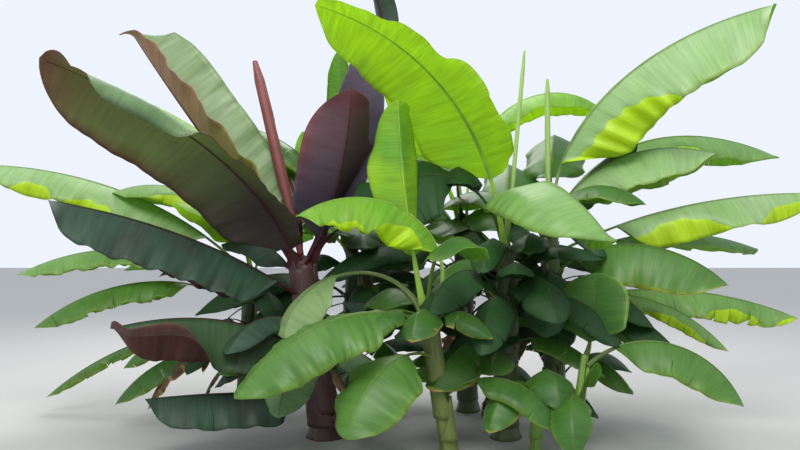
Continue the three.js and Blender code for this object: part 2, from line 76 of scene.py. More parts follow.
# Fronds of each stem: name, node, height of the foot, (azimuth, turn), (rise, droop),
# (length, stalk, width), and what differs from FORM if anything does
FRONDS = {
    "main": [
        ("sail", "sail_frond", 1.42, (228, -42), (82, 68), (2.4, 0.55, 0.92),
         dict(roll=15, fold=(-20, -5), hang=(-5, -10), blunt=5)),
        ("arch_back", "arch_back_frond", 1.38, (205, 0), (93, 165), (1.62, 0.76, 0.7),
         dict(roll=-50, fold=-10, hang=-15)),
        ("low_left", "low_left_frond", 0.7, (229, 0), (30, 88), (0.97, 0.25, 0.5), dict(roll=-10)),
        ("main_dark_left", "main_low_fronds", 1.0, (215, 25), (62, 125), (1.15, 0.45, 0.46)),
        ("main_dark_right", "main_low_fronds", 1.0, (292, -20), (62, 130), (1.05, 0.4, 0.44)),
        ("main_dark_side", "main_low_fronds", 1.0, (345, 0), (45, 105), (1.2, 0.4, 0.46)),
    ],
    "front": [
        ("front_up", "front_up_frond", 1.04, (190, 0), (78, -10), (1.42, 0.35, 0.52),
         dict(roll=85, fold=(60, 10), hang=0, blunt=5, taper=0.8)),
        ("front_over", "front_over_frond", 1.02, (195, -15), (141, 176), (1.58, 0.38, 0.68),
         dict(power=0.68, fold=-30, taper=0.2, foot=180)),
        ("front_right", "front_right_frond", 1.03, (285, 10), (90, 120), (1, 0.48, 0.48),
         dict(fold=-25)),
        ("front_dip", "front_low_fronds", 0.93, (250, 0), (60, 140), (0.55, 0.1, 0.36)),
        ("front_dip_right", "front_low_fronds", 0.93, (322, 0), (48, 112), (0.56, 0.12, 0.32)),
        ("front_long", "front_left_fronds", 0.95, (216, -12), (22, 77), (1.45, 0.3, 0.62),
         dict(roll=-15, fold=-15, hang=-20)),
        ("front_short", "front_left_fronds", 0.95, (222, 0), (40, 100), (0.65, 0.2, 0.3)),
        ("front_down", "front_down_frond", 0.72, (230, 0), (18, 88), (1, 0.25, 0.56),
         dict(roll=-15, fold=-10)),
        ("front_pale", "front_inner_fronds", 1, (150, 60), (60, 140), (1.36, 0.75, 0.52),
         dict(roll=-20, fold=-10, blunt=2.5)),
        ("front_inner", "front_inner_fronds", 0.98, (50, 0), (70, 78), (0.75, 0.2, 0.36)),
    ],
    "right": [
        ("roof_front", "roof_fronds", 1.52, (222, 81), (73, 123), (1.85, 0.45, 0.92),
         dict(power=0.67, fold=(-45, -10), hang=-15)),
        ("fan_top", "fan_top_frond", 1.66, (336, -6), (102, 97), (2.41, 0.45, 0.98),
         dict(power=0.65, fold=(-30, -58), hang=-12, blunt=6)),
        ("fan_up", "fan_up_frond", 1.5, (0, -25), (90, 112), (1.62, 0.35, 0.8),
         dict(power=0.8, fold=-30, hang=-30)),
        ("fan_far", "fan_far_frond", 1.6, (37, -40), (58, 85), (2.65, 0.6, 0.66),
         dict(fold=-35, hang=-20)),
        ("fan_torn", "roof_fronds", 1.5, (291, 45), (80, 128), (1.06, 0.35, 0.4)),
        ("fan_long", "fan_long_frond", 1.4, (340, 15), (28, 30), (2, 0.5, 0.62),
         dict(fold=-40, hang=-20)),
        ("fan_low_back", "fan_low_back_frond", 1.32, (16, 0), (24, 42), (2.05, 0.6, 0.45),
         dict(blunt=5)),
        ("fan_wide", "fan_front_fronds", 1.2, (300, 45), (48, 95), (1.5, 0.35, 0.7), dict(fold=-45)),
        ("fan_tatter", "fan_low_fronds", 1.05, (350, 10), (15, 38), (1.85, 0.5, 0.5), dict(fold=-40)),
        ("fan_twist", "fan_low_fronds", 1, (340, 0), (20, 72), (1.35, 0.4, 0.3), dict(fold=-40)),
        ("drop_dark", "fan_front_fronds", 1.15, (230, 60), (50, 130), (0.85, 0.25, 0.35)),
        ("drop_wide", "fan_front_fronds", 1.15, (255, 0), (35, 112), (1.1, 0.35, 0.44)),
        ("fan_under", "fan_low_fronds", 1.0, (312, 0), (12, 70), (1.25, 0.35, 0.42)),
    ],
    "back": [
        ("back_left", "back_left_fronds", 1.7, (200, 0), (75, 20), (1.5, 0.5, 0.55)),
        ("back_up", "back_up_frond", 1.72, (350, 0), (90, 140), (2, 0.8, 0.55),
         dict(power=1.5, fold=-25)),
        ("back_lime", "back_left_fronds", 1.66, (217, 0), (88, 130), (1.35, 0.4, 0.5)),
        ("back_mid", "back_left_fronds", 1.68, (266, 0), (60, 100), (1.4, 0.4, 0.5)),
        ("back_low", "back_low_fronds", 1.15, (140, 0), (35, 80), (1.6, 0.45, 0.52)),
        ("back_dark_right", "back_low_fronds", 1.15, (338, 0), (48, 95), (1.6, 0.45, 0.52)),
        ("back_dark_left", "back_low_fronds", 1.15, (205, 0), (50, 100), (1.5, 0.45, 0.5)),
    ],
    "pup": [
        ("pup_long", "pup_top_fronds", 0.66, (345, -15), (45, 115), (1.15, 0.2, 0.5), dict(fold=-35)),
        ("pup_up", "pup_top_fronds", 0.66, (55, 0), (76, 10), (0.64, 0.14, 0.5),
         dict(fold=10, hang=-10)),
        ("pup_left", "pup_low_fronds", 0.4, (240, 30), (50, 140), (0.75, 0.18, 0.3)),
        ("pup_spear", "pup_low_fronds", 0.4, (280, 0), (60, 20), (0.42, 0.16, 0.12)),
    ],
    "low": [
        ("low_mid", "sucker_fronds", 0.47, (275, 0), (85, 170), (0.7, 0.12, 0.38)),
        ("low_front", "sucker_fronds", 0.38, (225, 10), (50, 125), (0.78, 0.18, 0.36)),
    ],
    "left": [
        ("left_far", "left_far_frond", 1.22, (203, -12), (46, 50), (2.5, 0.45, 0.66), dict(fold=-30)),
        ("left_up", "left_top_fronds", 1.24, (225, -45), (85, 110), (1.55, 0.35, 0.5)),
        ("left_lime", "left_top_fronds", 1.2, (280, -70), (68, 74), (1.15, 0.3, 0.45)),
        ("left_one", "left_one_frond", 1.1, (198, -10), (36, 65), (1.95, 0.5, 0.5)),
        ("left_two", "left_two_frond", 0.95, (196, 0), (31, 73), (1.8, 0.5, 0.5)),
        ("left_thin", "left_low_fronds", 0.75, (180, 0), (2, 44), (1.85, 0.8, 0.25)),
        ("left_drop", "left_low_fronds", 0.75, (225, -38), (23, 79), (1.1, 0.4, 0.35)),
        ("left_drop2", "left_bottom_fronds", 0.55, (232, -40), (26, 85), (1.2, 0.35, 0.4)),
        ("left_dead", "left_bottom_fronds", 0.5, (250, -60), (34, 112), (1.1, 0.35, 0.2)),
    ],
    "red": [
        ("red_sail", "red_sail_frond", 1.28, (227, -12), (88, 73), (2.29, 0.15, 0.82),
         dict(power=0.42, roll=45, fold=(-50, -5), hang=(-10, -5), blunt=5, neck=0.09)),
        ("red_high", "red_high_frond", 1.35, (185, -23), (53, -1), (2.25, 0.3, 0.76),
         dict(power=1.3, roll=-25, fold=(55, 45), hang=5, blunt=5, neck=0.09)),
        ("red_face", "red_face_frond", 1.3, (345, -60), (60, -15), (1.38, 0.25, 0.66),
         dict(fold=20, hang=0, foot=-50, neck=0.09)),
        ("red_point", "red_point_frond", 1.32, (357, 60), (62, -28), (1.88, 0.3, 0.5),
         dict(roll=45, fold=20, hang=0, blunt=1.5, foot=25, neck=0.09)),
        ("red_top", "red_top_frond", 1.34, (48, 0), (63, -95), (2.65, 2, 0.3), dict(power=6)),
        ("red_dark", "red_dark_frond", 1.08, (212, -14), (34, 25), (1.85, 0.2, 0.75),
         dict(fold=-45, hang=-10, blunt=5, neck=0.09)),
        ("red_curl", "red_low_fronds", 0.62, (222, -20), (38, 52), (1.5, 0.2, 0.76),
         dict(fold=-48, hang=-20, blunt=5)),
        ("red_under", "red_low_fronds", 0.62, (262, 0), (30, 95), (0.95, 0.2, 0.42)),
        ("red_low", "red_low_frond", 0.32, (228, -26), (14, 16), (1.25, 0.2, 0.55),
         dict(fold=-35, blunt=5)),
    ],
    "rear": [
        ("rear_up", "rear_left_fronds", 1.45, (205, -16), (86, 88), (1.8, 0.55, 0.62)),
        ("rear_mid", "rear_left_fronds", 1.42, (258, 0), (60, 95), (1.3, 0.4, 0.46)),
        ("rear_tall", "rear_tall_fronds", 1.48, (180, 0), (86, -4), (1.8, 0.5, 0.34), dict(roll=80)),
        ("rear_right", "rear_tall_fronds", 1.45, (195, 0), (80, 25), (1.1, 0.3, 0.45), dict(roll=60)),
        ("rear_lime", "rear_left_fronds", 1.42, (180, 0), (45, 17), (2.2, 0.6, 0.45)),
        ("rear_dark_left", "rear_front_fronds", 1.0, (205, 10), (38, 85), (1.5, 0.45, 0.5)),
        ("rear_dark_low", "rear_front_fronds", 1.0, (232, 0), (8, 60), (1.4, 0.45, 0.5)),
        ("rear_dark_right", "rear_front_fronds", 1.0, (320, 0), (30, 80), (1.35, 0.4, 0.48)),
    ],
}

# The far side: azimuths of each stem's upper and lower rear frond, and the length of the upper one
REAR = {
    "main": (75, 120, 2.0),
    "right": (70, 100, 2.2),
    "back": (95, 45, 2.1),
    "rear": (80, 125, 2.0),
    "red": (110, 65, 2.3),
    "left": (110, 155, 1.9),
}

# Of the upper and the lower one: how far its foot is below the crown, turn, (rise, droop), and its length
# against the upper one's, its stalk and its width against its own length
REAR_FORMS = ((0.08, 10, (72, 92), 1, 0.22, 0.31), (0.11, 0, (44, 84), 0.85, 0.25, 0.32))

# Short drooping fronds low inside the clump: node, height of the feet, azimuths and length
INNER = {
    "main": ("main_low_fronds", 1.0, (195, 250, 320), 1.05),
    "back": ("back_low_fronds", 1.15, (245, 300), 1.2),
    "red": ("red_low_fronds", 0.62, (320,), 1.0),
    "rear": ("rear_front_fronds", 1.0, (215, 290), 1.15),
}
INNER_CLIMB = (35, 100)
INNER_STALK = 0.32  # shares of the length
INNER_WIDTH = 0.38

# Small fronds that fill the clump between its stems, finer than the solids show: for each stem the node
# that they join, the lowest and highest foot, their number and the azimuth of the first
FILLERS = {
    "main": ("main_low_fronds", 0.30, 1.38, 17, 200),
    "front": ("front_inner_fronds", 0.45, 0.80, 2, 340),
    "right": ("fan_low_fronds", 0.30, 1.62, 18, 250),
    "back": ("back_low_fronds", 0.30, 1.68, 20, 230),
    "rear": ("rear_front_fronds", 0.30, 1.42, 18, 250),
    "red": ("red_low_fronds", 0.40, 1.05, 7, 40),
    "left": ("left_bottom_fronds", 0.35, 1.18, 11, 280),
}
FILLER_TURN = 137.5  # from one to the next
FILLER_LENGTH = (0.75, 1.0)
FILLER_SHORTEST = 0.35
FILLER_SHRINK = 0.9  # each time that it doesn't fit
FILLER_STALK = 0.25  # share of the length
FILLER_WIDTH = (0.34, 0.42)
FILLER_RISE = (30, 60)
FILLER_DROOP = (80, 115)
FILLER_SWING = 25  # most that one turns to either side
# the dark tone among the fillers is painted shade for the inside of the clump
FILLER_TONES = ("mid", "dark", "dark")
FRONT_LIMIT = -1.15  # no part of theirs comes nearer the camera than this
GROUND_LIMIT = 0.05
UPPER_SHARE = 0.70  # above this share of a stem's height those at its far side stand up, younger
UPPER_LENGTH = 1.35  # how much longer those are
UPPER_RISE = (66, 84)
UPPER_DROOP = (60, 130)
# the dark tone here is painted shade too
UPPER_TONES = ("mid", "fair", "dark")
DEAD_EVERY = 5  # one in so many is a dry leaf that hangs beside the stem
DEAD_CLIMB = (-25, 55)
DEAD_WIDTH = 0.16

# How a frond looks where its own entry says nothing: tone of the blade, tears in its right and left half
# and how far in they start as a share of the half, ripple of the margin in degrees and its wavelength,
# dryness of the margin, curls as (side, from, to, degrees, lateral start), lobes of the margin that hang and
# glow with the light behind them, with that glow also painted into their colour as a bright lime, as (side,
# from, to, lateral start), and how much thicker its stalk is than the rule gives. Side 1 is right and -1
# left, and from and to are shares of the blade.
LOOK = dict(tone="mid", tears=(1, 1), depth=0.55, ripple=8, wave=0.4, dry=0.15, curls=(), lobes=(), stalk=1)
STALKS = {"front": 1.5, "pup": 2.2}  # by stem
RED_LOOK = dict(tone="red")
REAR_LOOK = dict(tears=(1, 2), depth=0.5, ripple=10)
DEAD = dict(tone="dead", tears=(3, 3), depth=0.2, ripple=45, wave=0.2, dry=1.0)
LOOKS = {
    "sail": dict(tone="lime", tears=(0, 0), ripple=7, wave=0.6, dry=0.05, curls=((1, 0.3, 0.5, 35, 0.6),)),
    # painted shade: this one is coloured dark for standing in shade behind the others
    "arch_back": dict(tone="dark", tears=(0, 1)),
    "low_left": dict(dry=0.8),
    "front_up": dict(tone="lime", tears=(0, 0), ripple=3, dry=0.05, curls=((-1, 0.5, 1.0, 80, 0.2),)),
    "front_over": dict(tone="lime", tears=(0, 0), ripple=20, wave=0.3, dry=0.1,
                       lobes=((1, 0.0, 0.45, 0.45), (-1, 0.0, 0.3, 0.6), (1, 0.5, 0.85, 0.8))),
    "front_right": dict(tears=(1, 0)),
    "front_dip": dict(dry=0.8),
    "front_dip_right": dict(dry=0.5),
    "front_long": dict(tone="fair", depth=0.7, ripple=14, wave=0.22),
    "front_down": dict(tone="fair", tears=(0, 1), ripple=11, wave=0.3),
    "front_pale": dict(tone="pale", tears=(0, 0), ripple=5),
    "roof_front": dict(tone="bright", tears=(2, 1), depth=0.5),
    "fan_top": dict(tone="painted_sheen", tears=(0, 0), ripple=9, wave=0.7, dry=0.05,
                    lobes=((-1, -0.25, 0.55, 0.42),)),
    "fan_up": dict(tone="painted_sheen", tears=(1, 0)),
    "fan_far": dict(tone="bright", depth=0.6, ripple=11, lobes=((-1, 0.35, 0.62, 0.5),)),
    "fan_torn": dict(tears=(2, 2)),
    "fan_long": dict(tone="painted_sheen", tears=(1, 0), ripple=12, wave=0.5,
                     lobes=((-1, 0.02, 0.52, 0.4), (-1, 0.66, 1.0, 0.5))),
    "fan_low_back": dict(tears=(1, 2)),
    "fan_wide": dict(tone="fair", depth=0.35, dry=0.5),
    "fan_tatter": dict(tone="bright", tears=(7, 8), depth=0.3, ripple=22, wave=0.3, dry=0.4,
                       lobes=((-1, 0.4, 0.8, 0.5), (-1, 0.85, 1.0, 0.6))),
    "fan_twist": dict(tone="bright", tears=(5, 6), depth=0.25, ripple=30, wave=0.3, dry=0.6,
                      lobes=((-1, 0.2, 0.9, 0.5),)),
    "pup_long": dict(tone="fair", tears=(2, 2), depth=0.5, ripple=10, dry=0.2, lobes=((1, 0.1, 0.5, 0.75),)),
    "pup_up": dict(tears=(1, 0)),
    "low_front": dict(dry=0.6),
    "left_far": dict(tone="painted_sheen", ripple=14,
                     lobes=((1, 0.35, 0.56, 0.72), (1, 0.6, 0.78, 0.6), (1, 0.8, 0.99, 0.65))),
    "left_up": dict(tone="bright", lobes=((1, 0.3, 0.7, 0.6),)),
    "left_lime": dict(tone="lime", tears=(0, 0)),
    "left_one": dict(tone="bright", tears=(3, 3), depth=0.5, ripple=18, wave=0.3),
    "left_two": dict(tone="fair", tears=(4, 4), depth=0.3, ripple=16, wave=0.3),
    "left_thin": dict(tone="fair", tears=(6, 6), depth=0.2, ripple=24, wave=0.3, dry=0.5),
    "left_drop": dict(tone="fair", tears=(5, 5), depth=0.25, ripple=18, wave=0.3, dry=0.4),
    "left_drop2": dict(tears=(3, 3), depth=0.3, dry=0.4),
    "left_dead": {**DEAD, "tears": (4, 4)},
    "back_left": dict(tone="lime", tears=(0, 0)),
    "back_up": dict(tone="lime", tears=(1, 0)),
    "back_lime": dict(tone="lime", tears=(0, 1)),
    "rear_lime": dict(tone="lime"),
    "rear_right": dict(tone="bright", tears=(0, 0)),
    "red_sail": dict(tears=(0, 0), ripple=6, dry=0.05, curls=((1, 0.54, 0.88, -125, 0.52),)),
    "red_high": dict(tone="amber", tears=(0, 0), ripple=10, wave=0.45, dry=0.1,
                     curls=((-1, 0.88, 1.0, -60, 0.1), (1, 0.88, 1.0, -60, 0.1))),
    "red_face": dict(tone="wine", tears=(0, 0), ripple=6, curls=((1, 0.6, 0.95, 70, 0.6),)),
    "red_point": dict(tone="wine", tears=(0, 0), ripple=5),
    "red_top": dict(tone="deep", tears=(0, 0)),
    "red_dark": dict(tone="deep", tears=(0, 1), depth=0.7, ripple=11, wave=0.3, dry=0.1),
    "red_curl": dict(tone="rust", tears=(0, 0), ripple=6, curls=((1, 0.42, 1.0, 115, 0.0),)),
    "red_low": dict(tone="deep", ripple=10, wave=0.25),
}
# Fronds that stand in the shade of others, coloured dark for it: painted shade
SHADE_PAINTED_FRONDS = ("drop_dark", "drop_wide", "fan_under", "back_mid", "rear_mid")
LOOKS.update({name: dict(tone="dark") for name in SHADE_PAINTED_FRONDS})

SEED = 7
WALK = 200  # steps by which a midrib is followed
FOOT_INSET = 0.3  # share of the stem's radius by which a foot sits inside the skin
SHARED_FOOT = 0.008  # how far a shared foot stands off the skin

# Blades
COLUMN = 0.016  # spacing of the columns along the rib
FEWEST_COLUMNS = 20
CROWDING = 1.1  # power that crowds the columns towards the base
ROWS = 10  # rows from the rib to each margin
LEAF_THICK = 0.0016
SWEEP = 0.1  # how far the margin runs ahead of the rib, in blade widths
TIP_HALF = 0.003  # least half width
TIP_FROM = 0.4  # share of the blade from which it closes to the tip
TIP_POWER = 0.7
OPEN_FROM = 0.1  # width share from which the folds and ripples open
OPEN_AT = 0.6  # and at which they are open
RIPPLES = (((0.8, 1.2), 0.75), ((0.3, 0.4), 0.25))  # (range of the wavelength, part) of each
RIPPLE_DRIFT = 1.2  # radians by which they wander
DRIFT_RATE = (2, 5)
PHASE = (0, 6)
RIPPLE_POWER = 1.5
CURL_POWER = 0.7

# Tears and the strips between them
CUT_HALF = 0.0006  # half the width of a fresh tear
TEAR_FROM = 0.12  # share of the blade at which the places for tears begin
TEAR_SPAN = 0.8
TEAR_JITTER = (0.2, 0.8)
TEAR_SCATTER = (-0.2, 0.25)  # of the lateral start
TEAR_STARTS = (0.08, 0.9)  # its limits
STRIP_DROOP = (-16, 20)  # mean and spread
STRIP_CURL = -22
STRIP_POWER = 1.2
DRY_MARGIN = 0.86  # lateral share past which a blade is dry
DRY_TIP = 0.93  # share of the blade past which it is
DRY_CUT = 0.006  # how far beside a tear

# Lobes
LOBE_EDGE = 0.3  # share of the half over which a lobe starts to hang
LOBE_CLOSED = 1.1  # lateral start at the two ends of a lobe
LOBE_FALL = 40  # how much more it hangs than the blade beside it
LOBE_POWER = 0.6
LOBE_WAVE = 0.03  # waves of its border, in half widths
LOBE_WAVES = 37  # radians of them in a metre

# Stalks and ribs: the sizes are those of a frond ROD_LENGTH long
ROD_LENGTH = 2.0
ROD_LIMITS = (0.45, 1.15)  # least and greatest size against that
STALK_RINGS = 14
RIB_RINGS = 60
RIB_END = 0.985
ROD_SIDES = 12
STALK_HALF = 0.021  # half width at the stem
NECK_HALF = 0.013  # where the blade starts
STALK_DEPTH = 0.019
NECK_DEPTH = 0.013
ROD_FALL = 0.0105  # what both lose from there to the tip
FOOT_SPREAD = 0.018  # how much wider the rod is where it clasps the stem
FOOT_REACH = 0.16
RIB_SINK = 0.1  # how far the rod sits under the midrib, in depths
STALK_SINK = 0.25  # and how much further along the stalk, which dies off over this share of the blade
SINK_SPAN = 1 / 6

# Sheaths that the stalks widen into
CLASP_LENGTH = 0.42
CLASP_SHARE = 0.7  # most of the foot's height that one takes
CLASP_REACH = 125  # to each side of the stalk
CLASP_POWER = 1.5
CLASP_ROWS = 12
CLASP_COLUMNS = 25
CLASP_THICK = 0.005
CLASP_WAVE = 0.012  # how far its rows rise and fall
CLASP_EDGE = 0.003
CLASP_STEP = 0.0015  # how much prouder each of four stands than the one before
CLASP_SWELL = 0.004  # what it gains to its middle line
CLASP_TOP_SWELL = 0.012  # and there towards its top
STALK_GRIP = 0.03  # half the width of its top on the skin
GRIP_LIMIT = 1.2  # most that this takes of the turn, in radians
CROWN_LIMIT = 0.93  # share of the stem's height above which its radius is no longer read

# Stems and rolled leaves
SHEATHS = 3
SHEATH_TWIST = 0.35
SHEATH_STEP = 0.0096  # from one sheath's edge down to the next, where the foot radius is SHEATH_RADIUS
SHEATH_RADIUS = 0.085
SLOW_WAVE = 0.03  # waves of the edges, in sheaths, and their radians in a metre of height
SLOW_RATE = 9
QUICK_WAVE = 0.012
QUICK_RATE = 31
WAVE_START = 90  # radians in a metre of foot radius, so that each stem starts elsewhere
STEM_BULGE = 0.03
STEM_SIDES = 96
STEM_RING = 0.02
CROWN_RINGS = 12
SPEAR_RINGS = 90
SPEAR_SIDES = 24
SPEAR_PROFILE = ((0, 0.2, 0.5, 0.9, 1), (0.5, 0.85, 1, 0.9, 0.45))  # share of the length, of the radius
SPEAR_STEP = 0.12
SPEAR_TURNS = 1.4
GAP = 0.0004  # from the crown to the rolled leaf

# Tones of blades, in linear red, green and blue: each face and its patches, the light that comes through and
# its share, and the rib. Most green tones are lit and shaded copies of one leaf green, so light and shade are
# painted into the colour: the dark tone is painted shade for fronds inside the clump or under others, the
# sheen tone's pale upper face is a painted sky reflection, bright is lightened with painted sheen as well,
# and lime is partly the young leaves' own yellow-green and partly a painted glow of light shining through
# them.
TONES = {
    # partly the young leaves' own yellow-green, partly a painted glow of light shining through
    "lime": dict(upper=((0.27, 0.48, 0.06), (0.2, 0.41, 0.05)),
                 under=((0.34, 0.56, 0.03), (0.17, 0.38, 0.07)),
                 through=(0.64, 0.88, 0.1), share=0.55, rib=(0.62, 0.85, 0.22)),
    # painted sheen: the pale upper face stands in for the sky's reflection
    "painted_sheen": dict(upper=((0.36, 0.52, 0.26), (0.29, 0.46, 0.18)),
                  under=((0.26, 0.44, 0.1), (0.2, 0.36, 0.07)),
                  through=(0.5, 0.78, 0.14), share=0.35, rib=(0.46, 0.6, 0.28)),
    # its own green lightened with painted sheen as well
    "bright": dict(upper=((0.25, 0.42, 0.14), (0.18, 0.34, 0.09)),
                   under=((0.2, 0.38, 0.07), (0.15, 0.31, 0.05)),
                   through=(0.5, 0.8, 0.12), share=0.4, rib=(0.42, 0.56, 0.2)),
    "fair": dict(upper=((0.12, 0.25, 0.06), (0.085, 0.19, 0.04)),
                 under=((0.15, 0.3, 0.05), (0.1, 0.24, 0.035)),
                 through=(0.46, 0.76, 0.09), share=0.4, rib=(0.36, 0.5, 0.16)),
    "pale": dict(upper=((0.31, 0.45, 0.2), (0.25, 0.39, 0.15)),
                 under=((0.33, 0.47, 0.19), (0.25, 0.38, 0.14)),
                 through=(0.42, 0.62, 0.14), share=0.35, rib=(0.42, 0.52, 0.22)),
    "mid": dict(upper=((0.075, 0.18, 0.035), (0.045, 0.13, 0.025)),
                under=((0.1, 0.23, 0.04), (0.07, 0.17, 0.03)),
                through=(0.4, 0.7, 0.07), share=0.4, rib=(0.28, 0.42, 0.1)),
    # painted shade: the colour of fronds in the shade inside the clump or under others
    "dark": dict(upper=((0.03, 0.085, 0.025), (0.018, 0.06, 0.018)),
                 under=((0.05, 0.13, 0.03), (0.03, 0.09, 0.02)),
                 through=(0.22, 0.42, 0.06), share=0.25, rib=(0.13, 0.22, 0.06)),
    "red": dict(upper=((0.19, 0.3, 0.15), (0.13, 0.23, 0.1)), under=((0.23, 0.33, 0.1), (0.06, 0.035, 0.05)),
                through=(0.34, 0.42, 0.1), share=0.3, rib=(0.2, 0.05, 0.06)),
    "amber": dict(upper=((0.24, 0.37, 0.18), (0.16, 0.28, 0.11)),
                  under=((0.44, 0.24, 0.1), (0.29, 0.3, 0.07)),
                  through=(0.45, 0.36, 0.1), share=0.3, rib=(0.26, 0.07, 0.07)),
    "deep": dict(upper=((0.038, 0.09, 0.052), (0.035, 0.055, 0.04)),
                 under=((0.09, 0.04, 0.045), (0.05, 0.02, 0.03)),
                 through=(0.18, 0.09, 0.06), share=0.2, rib=(0.17, 0.05, 0.06)),
    "wine": dict(upper=((0.09, 0.07, 0.1), (0.055, 0.05, 0.085)),
                 under=((0.1, 0.07, 0.1), (0.06, 0.045, 0.075)),
                 through=(0.26, 0.1, 0.12), share=0.25, rib=(0.2, 0.05, 0.07)),
    "dead": dict(upper=((0.2, 0.13, 0.065), (0.12, 0.08, 0.04)),
                 under=((0.22, 0.14, 0.07), (0.13, 0.085, 0.04)),
                 through=(0.36, 0.22, 0.08), share=0.3, rib=(0.28, 0.18, 0.09)),
    "rust": dict(upper=((0.05, 0.105, 0.045), (0.035, 0.075, 0.035)),
                 under=((0.15, 0.065, 0.045), (0.1, 0.045, 0.04)),
                 through=(0.3, 0.12, 0.06), share=0.25, rib=(0.2, 0.05, 0.06)),
}
MARGIN_TONES = ("red", "amber", "deep", "wine")  # their under faces redden to the margin
MARGIN_RED = (0.16, 0.045, 0.05)
MARGIN_PINK = (0.42, 0.22, 0.18)  # the same for amber
MARGIN_POWER = 5.0
MARGIN_SOFT = 0.2  # how much of that colour the patches add
FLUSH_END = 0.58  # share along at which the patch colour of these faces ends
FLUSH_RATE = 2.6
EDGE_TONES = ("lime", "painted_sheen", "bright", "fair", "mid")  # with a thin light edge
EDGE_LIGHT = (0.34, 0.48, 0.06)
EDGE_SHARE = 0.6
EDGE_POWER = 12.0
PLEAT_TONES = ("amber", "deep", "rust")  # with stronger pleats and veins
PLEAT = 2.0
DULL_TONES = ("dark", "deep", "wine", "red", "dead")
GLOSSY = (0.42, 0.5)  # roughness and specular level of an upper face
DULL = (0.55, 0.3)  # and of the others
LIT = (0.46, 0.66, 0.015)  # painted glow: the bright lime that a lobe's face turns to as if lit from behind, and the light through it
LIT_THROUGH = (0.85, 1.0, 0.02)
DRY = (0.30, 0.17, 0.06)
YELLOW = (0.55, 0.48, 0.06)
RIB_THROUGH = 0.65
RIB_PATCH = 0.7  # how dark its patches are
FINE_VEINS = (120.0, 1.5)  # noise cells in a metre of rib and from the rib to the margin
BROAD_VEINS = (26.0, 0.7)
FINE_SHADE = 0.36  # how much they darken and lighten the blade
BROAD_SHADE = 0.3
FINE_HEIGHT = 0.3  # of the fine veins against the broad ones
VEIN_HEIGHT = 0.004
VEIN_BUMP = dict(upper=0.26, under=0.3)
WEAR_SCALE = 22.0
WEAR_NOISE = 0.7
WEAR_RAMPS = {"Dry": (0.80, 0.92), "Yellow": (0.60, 0.90)}  # of the dryness plus its noise
WEAR_GAIN = 4.0
FIBRES = (5.0, 60.0)  # noise cells in a metre of stem and in its girth
FIBRE_HEIGHT = 0.003
FIBRE_FROM = 0.35  # value of the noise above which a streak shows
FIBRE_GAIN = 2.2

# Sheaths: colour, and that of their streaks
SHEATH_COLOURS = {
    "green": ((0.07, 0.11, 0.035), (0.07, 0.045, 0.025)),
    "yellow": ((0.13, 0.18, 0.035), (0.09, 0.075, 0.03)),
    "fresh": ((0.20, 0.38, 0.06), (0.16, 0.20, 0.05)),
    "maroon": ((0.075, 0.03, 0.03), (0.04, 0.018, 0.02)),
    "roll": ((0.30, 0.45, 0.12), (0.22, 0.36, 0.08)),
    "red_roll": ((0.20, 0.05, 0.045), (0.12, 0.025, 0.03)),
}
SHEATH_EDGE = (0.16, 0.10, 0.05)
STEM_TONES = {"front": "yellow", "pup": "fresh", "low": "fresh", "red": "maroon"}

# The stage, and the camera at the photo's place and angle
FLOOR_HALF = 40.0
FLOOR_COLOUR = (0.46, 0.46, 0.44, 1)
SKY_COLOUR = (0.86, 0.91, 1.0, 1)
LIGHTS = {  # place, size, power
    "back_light": ((-1.5, 5.0, 7.0), 6.0, 480.0),
    "front_light": ((-1.5, -5.0, 7.0), 5.0, 520.0),
}
LIGHT_COLOUR = (1.0, 0.98, 0.93)
LIGHT_TARGET = (0, 0, 1.5)
CAMERA_PLACE = (-0.80, -5.20, 1.45)
CAMERA_TILT = 1.77
CAMERA_LENS = 30.6
CAMERA_SENSOR = 36.0


def smooth(x):
    """Zero below 0, one above 1, and 3x^2 - 2x^3 between."""
    x = np.clip(x, 0, 1)
    return x * x * (3 - 2 * x)


def within(value, begin, end):
    """How far the value is on its way from begin to end: 0 before, 1 past it."""
    return np.clip((value - begin) / (end - begin), 0, 1)


def stem_middle(stem, height):
    """The points on the straight line from foot to crown at a height, or at each of several."""
    share = height / stem["height"]
    (x0, y0), (x1, y1) = stem["foot"], stem["crown"]
    return np.stack([x0 + (x1 - x0) * share, y0 + (y1 - y0) * share, height], -1)


def stem_radius(stem, height):
    """The straight taper, times a flare that dies off as a square above the ground, times a rounding of
    sqrt(1 - CROWN_ROUNDING r^2) over the shoulder at the crown."""
    top = stem["height"]
    share = height / top
    taper = stem["foot_radius"] + (stem["crown_radius"] - stem["foot_radius"]) * share
    flare = 1 + (FLARE - 1) * (1 - within(share, 0, FLARE_SHARE)) ** 2
    rounding = within(height, top - stem["crown_radius"] * SHOULDER, top)
    return taper * flare * np.sqrt(1 - CROWN_ROUNDING * rounding**2)


def all_fronds():
    """Every frond as a dict of its named values, in the order of the tables. Its place in that order seeds
    its random draws."""
    fronds = []

    def add(name, node, stem, at, swing, climb, size, form=None):
        azimuth, turn = swing
        rise, droop = climb
        length, stalk, width = size
        fronds.append({**FORM, "name": name, "node": node, "stem": stem, "at": at, "azimuth": azimuth,
                       "turn": turn, "rise": rise, "droop": droop, "length": length, "stalk": stalk,
                       "width": width, "filler": False, **(form or {})})

    for stem, rows in FRONDS.items():
        for name, node, *rest in rows:
            add(name, node, stem, *rest)
    for stem, (*azimuths, longest) in REAR.items():
        node = stem + "_back_fronds"
        for number, (azimuth, row) in enumerate(zip(azimuths, REAR_FORMS)):
            below, turn, climb, share, stalk, width = row
            length = longest * share
            add(f"{node}_{number + 1}", node, stem, STEMS[stem]["height"] - below, (azimuth, turn), climb,
                (length, length * stalk, length * width))
    for stem, (node, at, azimuths, length) in INNER.items():
        for azimuth in azimuths:
            add(node + str(azimuth), node, stem, at, (azimuth, 0), INNER_CLIMB,
                (length, length * INNER_STALK, length * INNER_WIDTH))
    for stem, row in FILLERS.items():
        fronds.extend(fillers(stem, *row))
    return fronds


